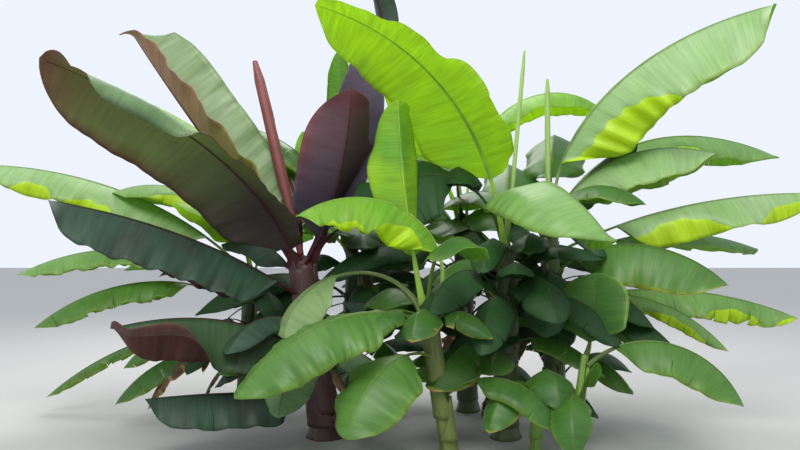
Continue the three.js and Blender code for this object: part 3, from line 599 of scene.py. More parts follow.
def fillers(stem, node, lowest, highest, count, azimuth):
    """Small fronds at even heights, each FILLER_TURN round from the last. Every DEAD_EVERY-th is dry, and
    the upper ones of the far side stand up. Each is shortened until it clears the ground and the
    front limit, or left out when it gets too short."""
    height = STEMS[stem]["height"]
    rng = np.random.default_rng([SEED, round(height * 100)])
    made = []
    for number in range(count):
        dead = number % DEAD_EVERY == 2
        at = lowest + (highest - lowest) * number / (count - 1)
        length = rng.uniform(*FILLER_LENGTH)
        toward = azimuth + FILLER_TURN * number
        young = not dead and at > UPPER_SHARE * height and math.sin(math.radians(toward)) > 0
        rise, droop = DEAD_CLIMB if dead else (rng.uniform(*FILLER_RISE), rng.uniform(*FILLER_DROOP))
        if young:
            rise, droop = rng.uniform(*UPPER_RISE), rng.uniform(*UPPER_DROOP)
            length *= UPPER_LENGTH
        width = DEAD_WIDTH if dead else rng.uniform(*FILLER_WIDTH)
        frond = {**FORM, "name": f"{stem}_{'dead' if dead else 'filler'}_{number}", "node": node,
                 "stem": stem, "at": at, "azimuth": toward, "turn": rng.uniform(-FILLER_SWING, FILLER_SWING),
                 "rise": rise, "droop": droop, "filler": True,
                 "tone": (UPPER_TONES if young else FILLER_TONES)[number % 3]}
        while length > FILLER_SHORTEST:
            frond.update(length=length, stalk=length * FILLER_STALK, width=length * width)
            _, point, *_ = midrib(frond, foot_of(frond, [frond]))
            if point[:, 2].min() > GROUND_LIMIT and point[:, 1].min() > FRONT_LIMIT:
                made.append(frond)
                break
            length *= FILLER_SHRINK
    return made


def foot_of(frond, mates):
    """Inside the stem's skin on the frond's own azimuth, or, for fronds that share a node, the one point
    just outside the skin on the mean of their azimuths."""
    stem = STEMS[frond["stem"]]
    angles = np.radians([mate["azimuth"] + mate["foot"] for mate in mates])
    toward = np.array([np.cos(angles).sum(), np.sin(angles).sum(), 0])
    toward /= np.linalg.norm(toward)
    at = np.mean([mate["at"] for mate in mates])
    radius = float(stem_radius(stem, at))
    out = radius + SHARED_FOOT if len(mates) > 1 else radius * (1 - FOOT_INSET)
    return stem_middle(stem, at) + toward * out


def stalk_shift(frond, foot, share):
    """From the shared foot of a node to the frond's own place on the stem's skin, dying off smoothly to
    nothing where the blade starts."""
    own = foot_of(frond, [frond])
    stalk_share = frond["stalk"] / frond["length"]
    return (own - foot) * (1 - smooth(share / stalk_share))[:, None]


def midrib(frond, foot):
    """Points and axes along a frond at WALK + 1 even shares t of its length. The direction has the climb
    rise - droop t^power and the azimuth azimuth + turn t^power, the points add up its strides, and the
    side and up axes are level and raised ones rolled about it."""
    share = np.linspace(0, 1, WALK + 1)
    bend = share ** frond["power"]
    climb = np.radians(frond["rise"] - frond["droop"] * bend)
    azimuth = np.radians(frond["azimuth"] + frond["turn"] * bend)
    along = np.stack([np.cos(climb) * np.cos(azimuth), np.cos(climb) * np.sin(azimuth), np.sin(climb)], -1)
    strides = (along[1:] + along[:-1]) * (frond["length"] / WALK / 2)
    point = foot + np.vstack([np.zeros(3), np.cumsum(strides, 0)])
    level = np.stack([-np.sin(azimuth), np.cos(azimuth), 0 * azimuth], -1)
    raised = np.cross(along, level)
    roll = math.radians(frond["roll"])
    side = level * math.cos(roll) + raised * math.sin(roll)
    up = raised * math.cos(roll) - level * math.sin(roll)
    return share, point, along, side, up


def at_shares(wanted, share, *tracks):
    """Each track of vectors read at the wanted shares, linearly between the walked ones."""
    return [np.stack([np.interp(wanted, share, axis) for axis in track.T], -1) for track in tracks]


def width_share(blade, frond):
    """Half the blade's width against its greatest: a quarter ellipse over the taper share at the base, and
    (1 - c^blunt)^TIP_POWER at the tip, where c runs from 0 at TIP_FROM of the blade to 1 at its end."""
    base = np.sqrt(1 - (1 - within(blade, 0, frond["taper"])) ** 2)
    return base * (1 - within(blade, TIP_FROM, 1) ** frond["blunt"]) ** TIP_POWER


def both_sides(value):
    """(right, left) of a value that may be given once for both."""
    return value if isinstance(value, tuple) else (value, value)


def tear_places(count, depth, rng):
    """Where one half is torn: shares of the blade, spread with some jitter, and the lateral share at which
    each tear starts."""
    if not count:
        return np.zeros(0), np.zeros(0)
    places = (np.arange(count) + rng.uniform(*TEAR_JITTER, count)) / count * TEAR_SPAN + TEAR_FROM
    starts = np.clip(depth + rng.uniform(*TEAR_SCATTER, count), *TEAR_STARTS)
    return places, starts


def strip_slopes(blade, lateral, places, starts, rng):
    """Extra slope of the strips between tears, in radians. Past the starts of both its tears a strip droops
    by an angle of its own, and its long edges curl down with the square of the distance from its middle."""
    if not len(places):
        return np.zeros((len(blade), len(lateral)))
    ends = np.concatenate([[0], places, [1]])
    begin = np.concatenate([[starts[0]], np.maximum(starts[:-1], starts[1:]), [starts[-1]]])
    strip = np.clip(np.searchsorted(places, blade), 0, len(places))
    droop = np.radians(rng.normal(*STRIP_DROOP, len(ends) - 1))[strip]
    place = (blade - ends[strip]) / (ends[strip + 1] - ends[strip])
    curl = math.radians(STRIP_CURL) * (2 * place - 1) ** 2
    reach = within(lateral[None, :], begin[strip][:, None], 1)
    return (droop + curl)[:, None] * reach**STRIP_POWER


def summed(values):
    """The sums of the values over the lateral share, by trapezoids, from nothing at the rib."""
    steps = (values[:, 1:] + values[:, :-1]) * (1 / ROWS) / 2
    return np.hstack([np.zeros((len(values), 1)), np.cumsum(steps, 1)])


def half_blade(frond, look, hand, blade, lateral, places, starts, rng):
    """How far out and up one half of a blade is on its grid, in half widths, how far ahead, and the mask of
    its lobes. The slope across is fold + hang q in degrees at the lateral share q, opened from nothing at
    the base, plus ripples of two wavelengths that grow as q^RIPPLE_POWER, plus the slopes of the strips and
    curls, less LOBE_FALL in the lobes. Out and up are the sums of its cosine and sine over q."""
    opened = within(width_share(blade, frond), OPEN_FROM, OPEN_AT)
    fold, hang = (both_sides(frond[key])[0 if hand > 0 else 1] for key in ("fold", "hang"))
    slope = np.radians(opened[:, None] * (fold + hang * lateral[None, :]))
    distance = blade * (frond["length"] - frond["stalk"])
    wavelengths = [rng.uniform(*span) * look["wave"] for span, _ in RIPPLES]
    waves = 0
    for wavelength, (_, part) in zip(wavelengths, RIPPLES):
        drift = RIPPLE_DRIFT * np.sin(distance * rng.uniform(*DRIFT_RATE) + rng.uniform(*PHASE))
        waves = waves + part * np.sin(2 * np.pi * distance / wavelength + drift + rng.uniform(*PHASE))
    ripple = math.radians(look["ripple"]) * (waves * opened)[:, None]
    slope = slope + ripple * lateral[None, :] ** RIPPLE_POWER
    slope = slope + strip_slopes(blade, lateral, places, starts, rng)
    for side, begin, end, degrees, start in look["curls"]:
        if side == hand:
            middle = within(blade, begin, end)
            bump = np.sin(np.pi * middle) ** CURL_POWER if end < 1 else smooth(middle * 2)
            outer = smooth(within(lateral, start, 1))
            slope = slope + math.radians(degrees) * bump[:, None] * outer[None, :]
    light = np.zeros(slope.shape)
    for side, begin, end, start in look["lobes"]:
        if side == hand:
            bump = np.sin(np.pi * within(blade, begin, end)) ** LOBE_POWER
            edge = start + (LOBE_CLOSED - start) * (1 - bump) + LOBE_WAVE * np.sin(distance * LOBE_WAVES)
            light = np.maximum(light, np.clip((lateral[None, :] - edge[:, None]) / LOBE_EDGE + 0.5, 0, 1))
    slope = slope - math.radians(LOBE_FALL) * smooth(light)
    ahead = SWEEP * frond["width"] * lateral[None, :] * ((1 - blade) * opened)[:, None]
    return summed(np.cos(slope)), summed(np.sin(slope)), ahead, light


def dryness(blade, lateral, long, places, starts):
    """How dry one half is, from 0 to 1: at its margin, at its tip and beside its tears."""
    dry = np.maximum(within(lateral[None, :], DRY_MARGIN, 1), within(blade, DRY_TIP, 1)[:, None])
    for place, start in zip(places, starts):
        close = np.exp(-np.abs(blade - place) * long / DRY_CUT)[:, None]
        dry = np.maximum(dry, close * (lateral[None, :] > start))
    return dry


def map_of(first, second, shape):
    """A map of two values over a grid, with a row for each of its points."""
    return np.stack([np.broadcast_to(first, shape), np.broadcast_to(second, shape)], -1).reshape(-1, 2)


def shell(points, keep, thick):
    """A closed shell from a grid of points: the grid as its upper face, a copy set off by the thickness
    against the grid's normals as its under face, and a wall along every edge of the kept cells that has
    no neighbour. Returns vertices, quads and each quad's part: 0 upper, 1 under, 2 wall."""
    columns, rows = points.shape[:2]
    normal = np.cross(np.gradient(points, axis=0), np.gradient(points, axis=1))
    normal /= np.linalg.norm(normal, axis=-1, keepdims=True) + 1e-12
    count = columns * rows
    vertices = np.vstack([points.reshape(-1, 3), (points - normal * thick).reshape(-1, 3)])
    index = np.arange(count).reshape(columns, rows)
    quads = np.stack([index[:-1, :-1], index[1:, :-1], index[1:, 1:], index[:-1, 1:]], -1)[keep]
    under = quads[:, ::-1] + count
    begin = quads.reshape(-1)
    end = np.roll(quads, -1, 1).reshape(-1)
    lone = ~np.isin(begin * count + end, end * count + begin)
    begin, end = begin[lone], end[lone]
    wall = np.stack([end, begin, begin + count, end + count], -1)
    part = np.concatenate([np.zeros(len(quads), int), np.ones(len(under), int), np.full(len(wall), 2)])
    return vertices, np.vstack([quads, under, wall]), part


def blade_part(frond, foot, look, rng):
    """One blade as a shell with its three maps. Its grid has a column every COLUMN along the rib, with two
    more at each tear, and ROWS rows on each half. A point is the midrib's, plus the side and up axes times
    out and up and the half width, plus the direction times ahead. The cells of a tear are left out."""
    stalk_share = frond["stalk"] / frond["length"]
    long = frond["length"] - frond["stalk"]
    torn = [tear_places(count, look["depth"], rng) for count in look["tears"]]
    even = np.linspace(0, 1, max(FEWEST_COLUMNS, int(long / COLUMN))) ** CROWDING
    gap = CUT_HALF / long
    cuts = np.concatenate([places for places, _ in torn])
    blade = np.unique(np.concatenate([even, cuts - gap, cuts + gap]))
    lateral = np.linspace(0, 1, ROWS + 1)
    across = np.linspace(-1, 1, 2 * ROWS + 1)
    middle = (blade[1:] + blade[:-1]) / 2
    cell = (across[1:] + across[:-1]) / 2
    keep = np.ones((len(middle), len(cell)), bool)
    point, along, side, up_axis = at_shares(stalk_share + (1 - stalk_share) * blade, *midrib(frond, foot))
    half = np.maximum(width_share(blade, frond) * frond["width"] / 2, TIP_HALF)[:, None]
    halves = []
    for hand, (places, starts) in zip((1, -1), torn):
        out, up, ahead, light = half_blade(frond, look, hand, blade, lateral, places, starts, rng)
        grid = (
            point[:, None]
            + side[:, None] * (hand * out * half)[..., None]
            + up_axis[:, None] * (up * half)[..., None]
            + along[:, None] * ahead[..., None]
        )
        dry = dryness(blade, lateral, long, places, starts) * look["dry"]
        halves.append(np.dstack([grid, dry, light]))
        for place, start in zip(places, starts):
            keep[np.argmin(np.abs(middle - place))] &= ~(cell * hand > start)
    right, left = halves
    whole = np.concatenate([left[:, :0:-1], right], 1)
    vertices, quads, part = shell(whole[..., :3], keep, LEAF_THICK)
    shape = whole.shape[:2]
    maps = (
        map_of((blade * long)[:, None], across[None, :], shape),
        map_of(blade[:, None], whole[..., 3], shape),
        map_of(whole[..., 4], 0, shape),
    )
    return vertices, quads, part, [np.vstack([values, values]) for values in maps]


def rod_size(frond):
    """Size of a frond's stalk and rib against one ROD_LENGTH long."""
    return float(np.clip(frond["length"] / ROD_LENGTH, *ROD_LIMITS))


def rib_part(frond, foot, look):
    """Stalk and rib as one grooved rod along the midrib. Its section is an ellipse's lower half under a
    shallow channel, which is 0.3 + 0.5 s^2 - 0.8 s^6 depths high at the share s of the half width. The half
    width falls with the square of the way along the stalk and the depth straight, and both go on falling
    straight to the tip. The rod widens where it clasps the stem."""
    size = rod_size(frond)
    stalk_share = frond["stalk"] / frond["length"]
    shares = np.concatenate([np.linspace(0, stalk_share, STALK_RINGS)[:-1],
                             np.linspace(stalk_share, RIB_END, RIB_RINGS)])
    point, along, side, up_axis = at_shares(shares, *midrib(frond, foot))
    point = point + stalk_shift(frond, foot, shares)
    stalk = within(shares, 0, stalk_share)
    blade = within(shares, stalk_share, 1)
    broad = STALK_HALF * (frond["neck"] / FORM["neck"])
    thicker = 1 + (look["stalk"] - 1) * (1 - blade) ** 4
    half = size * (broad - (broad - NECK_HALF) * stalk**2 - ROD_FALL * blade) * thicker
    half = half + FOOT_SPREAD * size * (1 - within(shares * frond["length"], 0, FOOT_REACH)) ** 2
    depth = size * (STALK_DEPTH - (STALK_DEPTH - NECK_DEPTH) * stalk - ROD_FALL * blade) * thicker
    angle = np.linspace(0, 2 * np.pi, ROD_SIDES, endpoint=False)
    s = np.abs(np.cos(angle))
    lift = np.where(np.sin(angle) < 0, np.sin(angle), 0.3 + 0.5 * s**2 - 0.8 * s**6)
    sink = depth * (STALK_SINK * (1 - within(blade, 0, SINK_SPAN)) + RIB_SINK)
    rings = (
        point[:, None]
        + side[:, None] * (half[:, None] * np.cos(angle))[..., None]
        + up_axis[:, None] * (depth[:, None] * lift - sink[:, None])[..., None]
    )
    return tube(rings, np.linspace(0, frond["length"], len(shares)))


def level_ways(angle):
    """Level unit vectors towards the angles."""
    return np.stack([np.cos(angle), np.sin(angle), 0 * angle], -1)


def clasp_part(frond, order):
    """The sheath that a stalk widens into, as a shell on the stem's skin from CLASP_LENGTH below the foot up
    to it. It reaches round the stem by an angle that falls from CLASP_REACH to the stalk's own grip as
    (1 - s)^CLASP_POWER of the share s of its height, and stands proud by CLASP_EDGE at its edges and more
    in its middle. Sheaths lie over each other by the order in which they are made."""
    stem = STEMS[frond["stem"]]
    limit = stem["height"] * CROWN_LIMIT
    length = min(CLASP_LENGTH, frond["at"] * CLASP_SHARE)
    share = np.linspace(0, 1, CLASP_ROWS)
    across = np.linspace(-1, 1, CLASP_COLUMNS)[None, :]
    grip = STALK_GRIP * rod_size(frond) * frond["neck"] / FORM["neck"]
    top_angle = min(GRIP_LIMIT, grip / float(stem_radius(stem, min(frond["at"], limit))))
    reach = top_angle + (math.radians(CLASP_REACH) - top_angle) * (1 - share) ** CLASP_POWER
    heights = frond["at"] - length * (1 - share) - CLASP_WAVE * np.sin(share * 9 + order)
    angle = math.radians(frond["azimuth"] + frond["foot"]) + reach[:, None] * across
    swell = (CLASP_SWELL + CLASP_TOP_SWELL * share[:, None] ** 2) * (1 - across**2)
    proud = CLASP_EDGE + CLASP_STEP * (order % 4) + swell
    skin = stem_radius(stem, np.minimum(heights, limit))[:, None] + proud
    points = stem_middle(stem, heights)[:, None] + level_ways(angle) * skin[..., None]
    keep = np.ones((CLASP_ROWS - 1, CLASP_COLUMNS - 1), bool)
    vertices, quads, part = shell(points[:, ::-1], keep, CLASP_THICK)
    place = map_of(heights[:, None], angle / (2 * np.pi), angle.shape)
    wrap = map_of(heights[:, None], 1 - np.abs(across), angle.shape)
    return vertices, quads, np.vstack([place, place]), np.vstack([wrap, wrap]), part == 2


def tube(rings, distance):
    """A closed tube from rings of points, counterclockwise about its direction, with a point at the middle
    of each end. Returns vertices, faces of four corners where the last may repeat, and a map of
    (distance, share of the girth)."""
    count, sides = rings.shape[:2]
    ends = np.array([rings[0].mean(0), rings[-1].mean(0)])
    vertices = np.vstack([rings.reshape(-1, 3), ends])
    index = np.arange(count * sides).reshape(count, sides)
    after = np.roll(index, -1, 1)
    quads = np.stack([index[:-1], after[:-1], after[1:], index[1:]], -1).reshape(-1, 4)
    first, last = count * sides, count * sides + 1
    start = np.stack([after[0], index[0], np.full(sides, first), np.full(sides, first)], -1)
    finish = np.stack([index[-1], after[-1], np.full(sides, last), np.full(sides, last)], -1)
    place = map_of(distance[:, None], np.arange(sides) / sides, (count, sides))
    place = np.vstack([place, [distance[0], 0], [distance[-1], 0]])
    return vertices, np.vstack([quads, start, finish]), place


def wrap_map(distance, stand):
    """The map wrap of a tube: the distance along it and how each point stands in its sheath, with the
    middle of a sheath at the points that close it."""
    ends = [[0, 0.5], [distance[-1], 0.5]]
    return np.vstack([map_of(distance[:, None], stand, stand.shape), ends])


def joined(parts):
    """Parts, each with its vertices, its faces and then other arrays, as one. Each part's faces count on
    from the vertices of the parts before it."""
    begin = np.cumsum([0] + [len(vertices) for vertices, *_ in parts])
    columns = [np.concatenate(column) for column in zip(*parts)]
    columns[1] = np.vstack([faces + start for (_, faces, *_), start in zip(parts, begin)])
    return columns


def new_object(name, data):
    """An object in the scene with its mesh, lamp or camera."""
    made = bpy.data.objects.new(name, data)
    bpy.context.scene.collection.objects.link(made)
    return made


def mesh_piece(name, vertices, faces, slots, maps, materials, flat=None):
    """One object from joined arrays. A face whose last two corners are the same point is a triangle."""
    triangle = faces[:, 2] == faces[:, 3]
    size = np.where(triangle, 3, 4)
    corners = faces[np.arange(4)[None, :] < size[:, None]]
    mesh = bpy.data.meshes.new(name)
    mesh.vertices.add(len(vertices))
    mesh.vertices.foreach_set("co", vertices.astype(np.float32).ravel())
    mesh.loops.add(len(corners))
    mesh.loops.foreach_set("vertex_index", corners.astype(np.int32))
    mesh.polygons.add(len(faces))
    mesh.polygons.foreach_set("loop_start", (np.cumsum(size) - size).astype(np.int32))
    mesh.polygons.foreach_set("loop_total", size.astype(np.int32))
    mesh.update(calc_edges=True)
    mesh.polygons.foreach_set("material_index", slots.astype(np.int32))
    smooth_faces = np.ones(len(faces), bool) if flat is None else ~flat
    mesh.polygons.foreach_set("use_smooth", smooth_faces)
    for map_name, values in maps.items():
        layer = mesh.uv_layers.new(name=map_name)
        layer.uv.foreach_set("vector", values[corners].astype(np.float32).ravel())
    for material in materials:
        mesh.materials.append(material)
    mesh.validate()
    return new_object(name, mesh)


def stem_rings(stem):
    """Rings of a stem and how each point stands in its sheath, 0 at the sheath's free edge to 1 under the
    next: the fraction of SHEATHS times the turn plus a slow twist with height and two waves. The radius is
    the stem's less a step times 1 - (1 - stand)^2, swelled a little twice round."""
    top = stem["height"]
    shoulder = stem["crown_radius"] * SHOULDER
    heights = np.concatenate([np.arange(0, top - shoulder, STEM_RING),
                              np.linspace(top - shoulder, top, CROWN_RINGS)])
    turn = np.linspace(0, 1, STEM_SIDES, endpoint=False)
    start = stem["foot_radius"] * WAVE_START
    waves = SLOW_WAVE * np.sin(heights * SLOW_RATE + start) + QUICK_WAVE * np.sin(heights * QUICK_RATE)
    stand = (SHEATHS * turn[None, :] + (SHEATH_TWIST * heights + waves)[:, None]) % 1
    step = SHEATH_STEP * stem["foot_radius"] / SHEATH_RADIUS
    radius = stem_radius(stem, heights)[:, None] - step * (1 - (1 - stand) ** 2)
    bulge = 1 + STEM_BULGE * np.sin(2 * np.pi * turn[None, :] * 2 + heights[:, None] * 3)
    flat = level_ways(turn * 2 * np.pi)
    rings = stem_middle(stem, heights)[:, None] + flat[None] * (radius * bulge)[..., None]
    return rings, heights, stand


def stem_piece(name):
    """A false stem of rolled sheaths, with the sheaths that its stalks widen into laid over it. Its map wrap
    holds (height, stand in the sheath)."""
    rings, heights, stand = stem_rings(STEMS[name])
    vertices, faces, place = tube(rings, heights)
    parts = [(vertices, faces, place, wrap_map(heights, stand), np.zeros(len(faces), bool))]
    for order, frond in enumerate(all_fronds()):
        if frond["stem"] == name:
            parts.append(clasp_part(frond, order))
    vertices, faces, place, wrap, flat = joined(parts)
    piece = mesh_piece(name + "_sheaths", vertices, faces, np.zeros(len(faces), int),
                       {"sheath": place, "wrap": wrap}, [stem_material(STEM_TONES.get(name, "green"))], flat)
    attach(piece, "root")
    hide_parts(name + "_stem")


def spear_piece(name):
    """A rolled young leaf along the straight line from the crown to its tip. Its radius follows a spindle
    profile, less SPEAR_STEP of it times a sawtooth that winds SPEAR_TURNS round in the length."""
    spear = SPEARS[name]
    stem = STEMS[name]
    start = stem_middle(stem, stem["height"]) + np.array([0, 0, GAP])
    line = np.array(spear["tip"]) - start
    length = np.linalg.norm(line)
    along = line / length
    side = np.cross([0, 1, 0], along)
    side /= np.linalg.norm(side)
    other = np.cross(along, side)
    share = np.linspace(0, 1, SPEAR_RINGS)
    turn = np.linspace(0, 1, SPEAR_SIDES, endpoint=False)
    stand = (turn[None, :] + SPEAR_TURNS * share[:, None]) % 1
    radius = spear["radius"] * np.interp(share, *SPEAR_PROFILE)[:, None] * (1 - SPEAR_STEP * stand)
    angle = (turn * 2 * np.pi)[:, None]
    flat = side * np.cos(angle) + other * np.sin(angle)
    rings = start + line * share[:, None, None] + flat[None] * radius[..., None]
    vertices, faces, place = tube(rings, share * length)
    tone = "red_roll" if name == "red" else "roll"
    piece = mesh_piece(name + "_roll", vertices, faces, np.zeros(len(faces), int),
                       {"sheath": place, "wrap": wrap_map(share * length, stand)}, [stem_material(tone)])
    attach(piece, "root")
    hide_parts(name + "_spear")


def look_of(frond):
    """LOOK, changed by the kind of frond and then by the frond's own entry."""
    look = dict(LOOK)
    if frond["stem"] == "red":
        look.update(RED_LOOK)
    if frond["node"].endswith("_back_fronds"):
        look.update(REAR_LOOK)
    # fronds low inside the clump are coloured dark: painted shade
    elif frond["node"] in {node for node, *_ in INNER.values()} and frond["stem"] != "red":
        look.update(tone="dark")
    look.update(stalk=STALKS.get(frond["stem"], 1))
    if frond["filler"]:
        look.update(tone="deep" if frond["stem"] == "red" else frond["tone"])
    if "_dead_" in frond["name"]:
        look.update(DEAD)
    look.update(LOOKS.get(frond["name"], {}))
    return look


def frond_piece(node, fronds):
    """The blades, ribs and stalks of one node's fronds, joined. Map blade holds (metres along, share
    across), map wear (share along, dryness) and map light (how far the place is in a lobe)."""
    mates = [frond for _, frond in fronds if not frond["filler"]]
    materials = []
    parts = []

    def slot_of(material):
        if material not in materials:
            materials.append(material)
        return materials.index(material)

    for order, frond in fronds:
        look = look_of(frond)
        foot = foot_of(frond, [frond] if frond["filler"] else mates)
        upper = slot_of(leaf_material(look["tone"], "upper"))
        under = slot_of(leaf_material(look["tone"], "under"))
        rib = slot_of(rib_material(look["tone"]))
        vertices, faces, part, maps = blade_part(frond, foot, look, np.random.default_rng([SEED, order]))
        parts.append((vertices, faces, np.where(part == 0, upper, under), part == 2, *maps))
        vertices, faces, place = rib_part(frond, foot, look)
        plain = np.zeros((len(vertices), 2))
        parts.append((vertices, faces, np.full(len(faces), rib), np.zeros(len(faces), bool),
                      place, plain, plain))
    vertices, faces, slots, flat, *maps = joined(parts)
    piece = mesh_piece(node + "_blades", vertices, faces, slots,
                       dict(zip(("blade", "wear", "light"), maps)), materials, flat)
    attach(piece, "root")
    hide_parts(node)


def group_start(name, outputs, inputs=()):
    """An empty shader group with its inputs and outputs, given as (name, socket type, default)."""
    group = bpy.data.node_groups.new(name, "ShaderNodeTree")
    for socket, kind, default in inputs:
        made = group.interface.new_socket(name=socket, in_out="INPUT", socket_type=kind)
        made.default_value = default
    for socket, kind in outputs:
        group.interface.new_socket(name=socket, in_out="OUTPUT", socket_type=kind)
    return group, group.nodes.new("NodeGroupInput"), group.nodes.new("NodeGroupOutput")


def add_node(tree, kind, links=None, **values):
    """A node with its properties set, its sockets linked where the link names an output socket, and set
    to the value otherwise."""
    made = tree.nodes.new(kind)
    for key, value in values.items():
        setattr(made, key, value)
    for socket, source in (links or {}).items():
        if isinstance(source, bpy.types.NodeSocket):
            tree.links.new(source, made.inputs[socket])
        else:
            made.inputs[socket].default_value = source
    return made


def math_of(tree, operation, *sources, clamp=False):
    """The output of a math node on sockets or numbers."""
    made = add_node(tree, "ShaderNodeMath", dict(enumerate(sources)), operation=operation, use_clamp=clamp)
    return made.outputs[0]


def mix_of(tree, factor, first, second, blend="MIX"):
    """The colour first to second by the factor. Colours are sockets or (r, g, b)."""
    made = add_node(tree, "ShaderNodeMix", data_type="RGBA", blend_type=blend)
    for socket, source in ((0, factor), (6, first), (7, second)):
        if isinstance(source, bpy.types.NodeSocket):
            tree.links.new(source, made.inputs[socket])
        else:
            made.inputs[socket].default_value = (*source, 1) if isinstance(source, tuple) else source
    return made.outputs[2]


def map_axes(tree, name):
    """The two coordinates of a named map."""
    place = add_node(tree, "ShaderNodeUVMap", uv_map=name)
    split = add_node(tree, "ShaderNodeSeparateXYZ", {0: place.outputs[0]})
    return split.outputs[0], split.outputs[1]


def lateral_of(tree):
    """The share of the way from a blade's rib to its margin."""
    return math_of(tree, "ABSOLUTE", map_axes(tree, "blade")[1])


def noise_of(tree, place, scale, detail, **values):
    """The value of a noise at a place."""
    links = {0: place, "Scale": scale, "Detail": detail}
    return add_node(tree, "ShaderNodeTexNoise", links, **values).outputs[0]


def streaks_of(tree, axes, scales, detail):
    """The value of a noise in the plane of two coordinates, each with its own scale."""
    scaled = [math_of(tree, "MULTIPLY", *pair) for pair in zip(axes, scales)]
    place = add_node(tree, "ShaderNodeCombineXYZ", dict(enumerate(scaled)))
    return noise_of(tree, place.outputs[0], 1.0, detail, noise_dimensions="2D")


def ramp_of(tree, value, begin, end, top=1.0):
    """The value as 0 at begin and top at end, straight between and level outside."""
    return add_node(tree, "ShaderNodeMapRange", {0: value, 1: begin, 2: end, 3: 0.0, 4: top}).outputs[0]


def shade_of(tree, value, contrast):
    """A factor that goes round one by the contrast as the value goes from 0 to 1."""
    return math_of(tree, "ADD", math_of(tree, "MULTIPLY", value, contrast), 1 - contrast / 2)


def bump_of(tree, height, strength, distance):
    """The normal bumped by a height."""
    links = {"Height": height, "Strength": strength, "Distance": distance}
    return add_node(tree, "ShaderNodeBump", links).outputs[0]


@cache
def veins_group():
    """Veins that run from rib to margin: noise that changes fast along the rib and slowly across it, at a
    fine and a broad scale, as two values and as a bumped normal."""
    group, given, result = group_start(
        "blade_veins",
        [("Fine", "NodeSocketFloat"), ("Broad", "NodeSocketFloat"), ("Normal", "NodeSocketVector")],
        [("Bump", "NodeSocketFloat", 0.4)],
    )
    place = map_axes(group, "blade")
    fine = streaks_of(group, place, FINE_VEINS, 2.0)
    broad = streaks_of(group, place, BROAD_VEINS, 2.0)
    height = math_of(group, "ADD", math_of(group, "MULTIPLY", fine, FINE_HEIGHT), broad)
    normal = bump_of(group, height, given.outputs["Bump"], VEIN_HEIGHT)
    for socket, source in (("Fine", fine), ("Broad", broad), ("Normal", normal)):
        group.links.new(source, result.inputs[socket])
    return group


@cache
def wear_group():
    """How dry and how yellowed a place is: the map's dryness plus a noise, where yellow reaches further in
    than dry. Both fade out where the dryness itself is under a quarter."""
    group, _, result = group_start("blade_wear", [("Dry", "NodeSocketFloat"), ("Yellow", "NodeSocketFloat")])
    _, dryness = map_axes(group, "wear")
    place = add_node(group, "ShaderNodeTexCoord").outputs["Object"]
    noise = math_of(group, "MULTIPLY", noise_of(group, place, WEAR_SCALE, 3.0), WEAR_NOISE)
    total = math_of(group, "ADD", dryness, noise)
    near = math_of(group, "MULTIPLY", dryness, WEAR_GAIN, clamp=True)
    for socket, ends in WEAR_RAMPS.items():
        faded = math_of(group, "MULTIPLY", ramp_of(group, total, *ends), near)
        group.links.new(faded, result.inputs[socket])
    return group


@cache
def patches_group():
    """Broad soft patches over the plant, as a value from 0 to 1."""
    group, given, result = group_start(
        "broad_patches", [("Value", "NodeSocketFloat")],
        [("Scale", "NodeSocketFloat", 3.0), ("Contrast", "NodeSocketFloat", 2.0)],
    )
    place = add_node(group, "ShaderNodeTexCoord").outputs["Object"]
    centred = math_of(group, "SUBTRACT", noise_of(group, place, given.outputs["Scale"], 2.0), 0.5)
    spread = math_of(group, "MULTIPLY", centred, given.outputs["Contrast"])
    group.links.new(math_of(group, "ADD", spread, 0.5, clamp=True), result.inputs["Value"])
    return group


def new_material(name):
    """A material with its tree, its output and an unlinked Principled shader."""
    material = bpy.data.materials.new(name)
    material.use_nodes = True
    tree = material.node_tree
    return material, tree, tree.nodes["Principled BSDF"], tree.nodes["Material Output"]


def group_node(tree, group, **values):
    """The group as a node, with its inputs set."""
    made = tree.nodes.new("ShaderNodeGroup")
    made.node_tree = group
    for socket, value in values.items():
        made.inputs[socket].default_value = value
    return made


def let_through(tree, output, shader, colour, share):
    """The shader with a share of light let through in a colour, put out as the surface."""
    glass = add_node(tree, "ShaderNodeBsdfTranslucent", {"Color": colour})
    mixed = add_node(tree, "ShaderNodeMixShader", {0: share, 1: shader.outputs[0], 2: glass.outputs[0]})
    tree.links.new(mixed.outputs[0], output.inputs["Surface"])


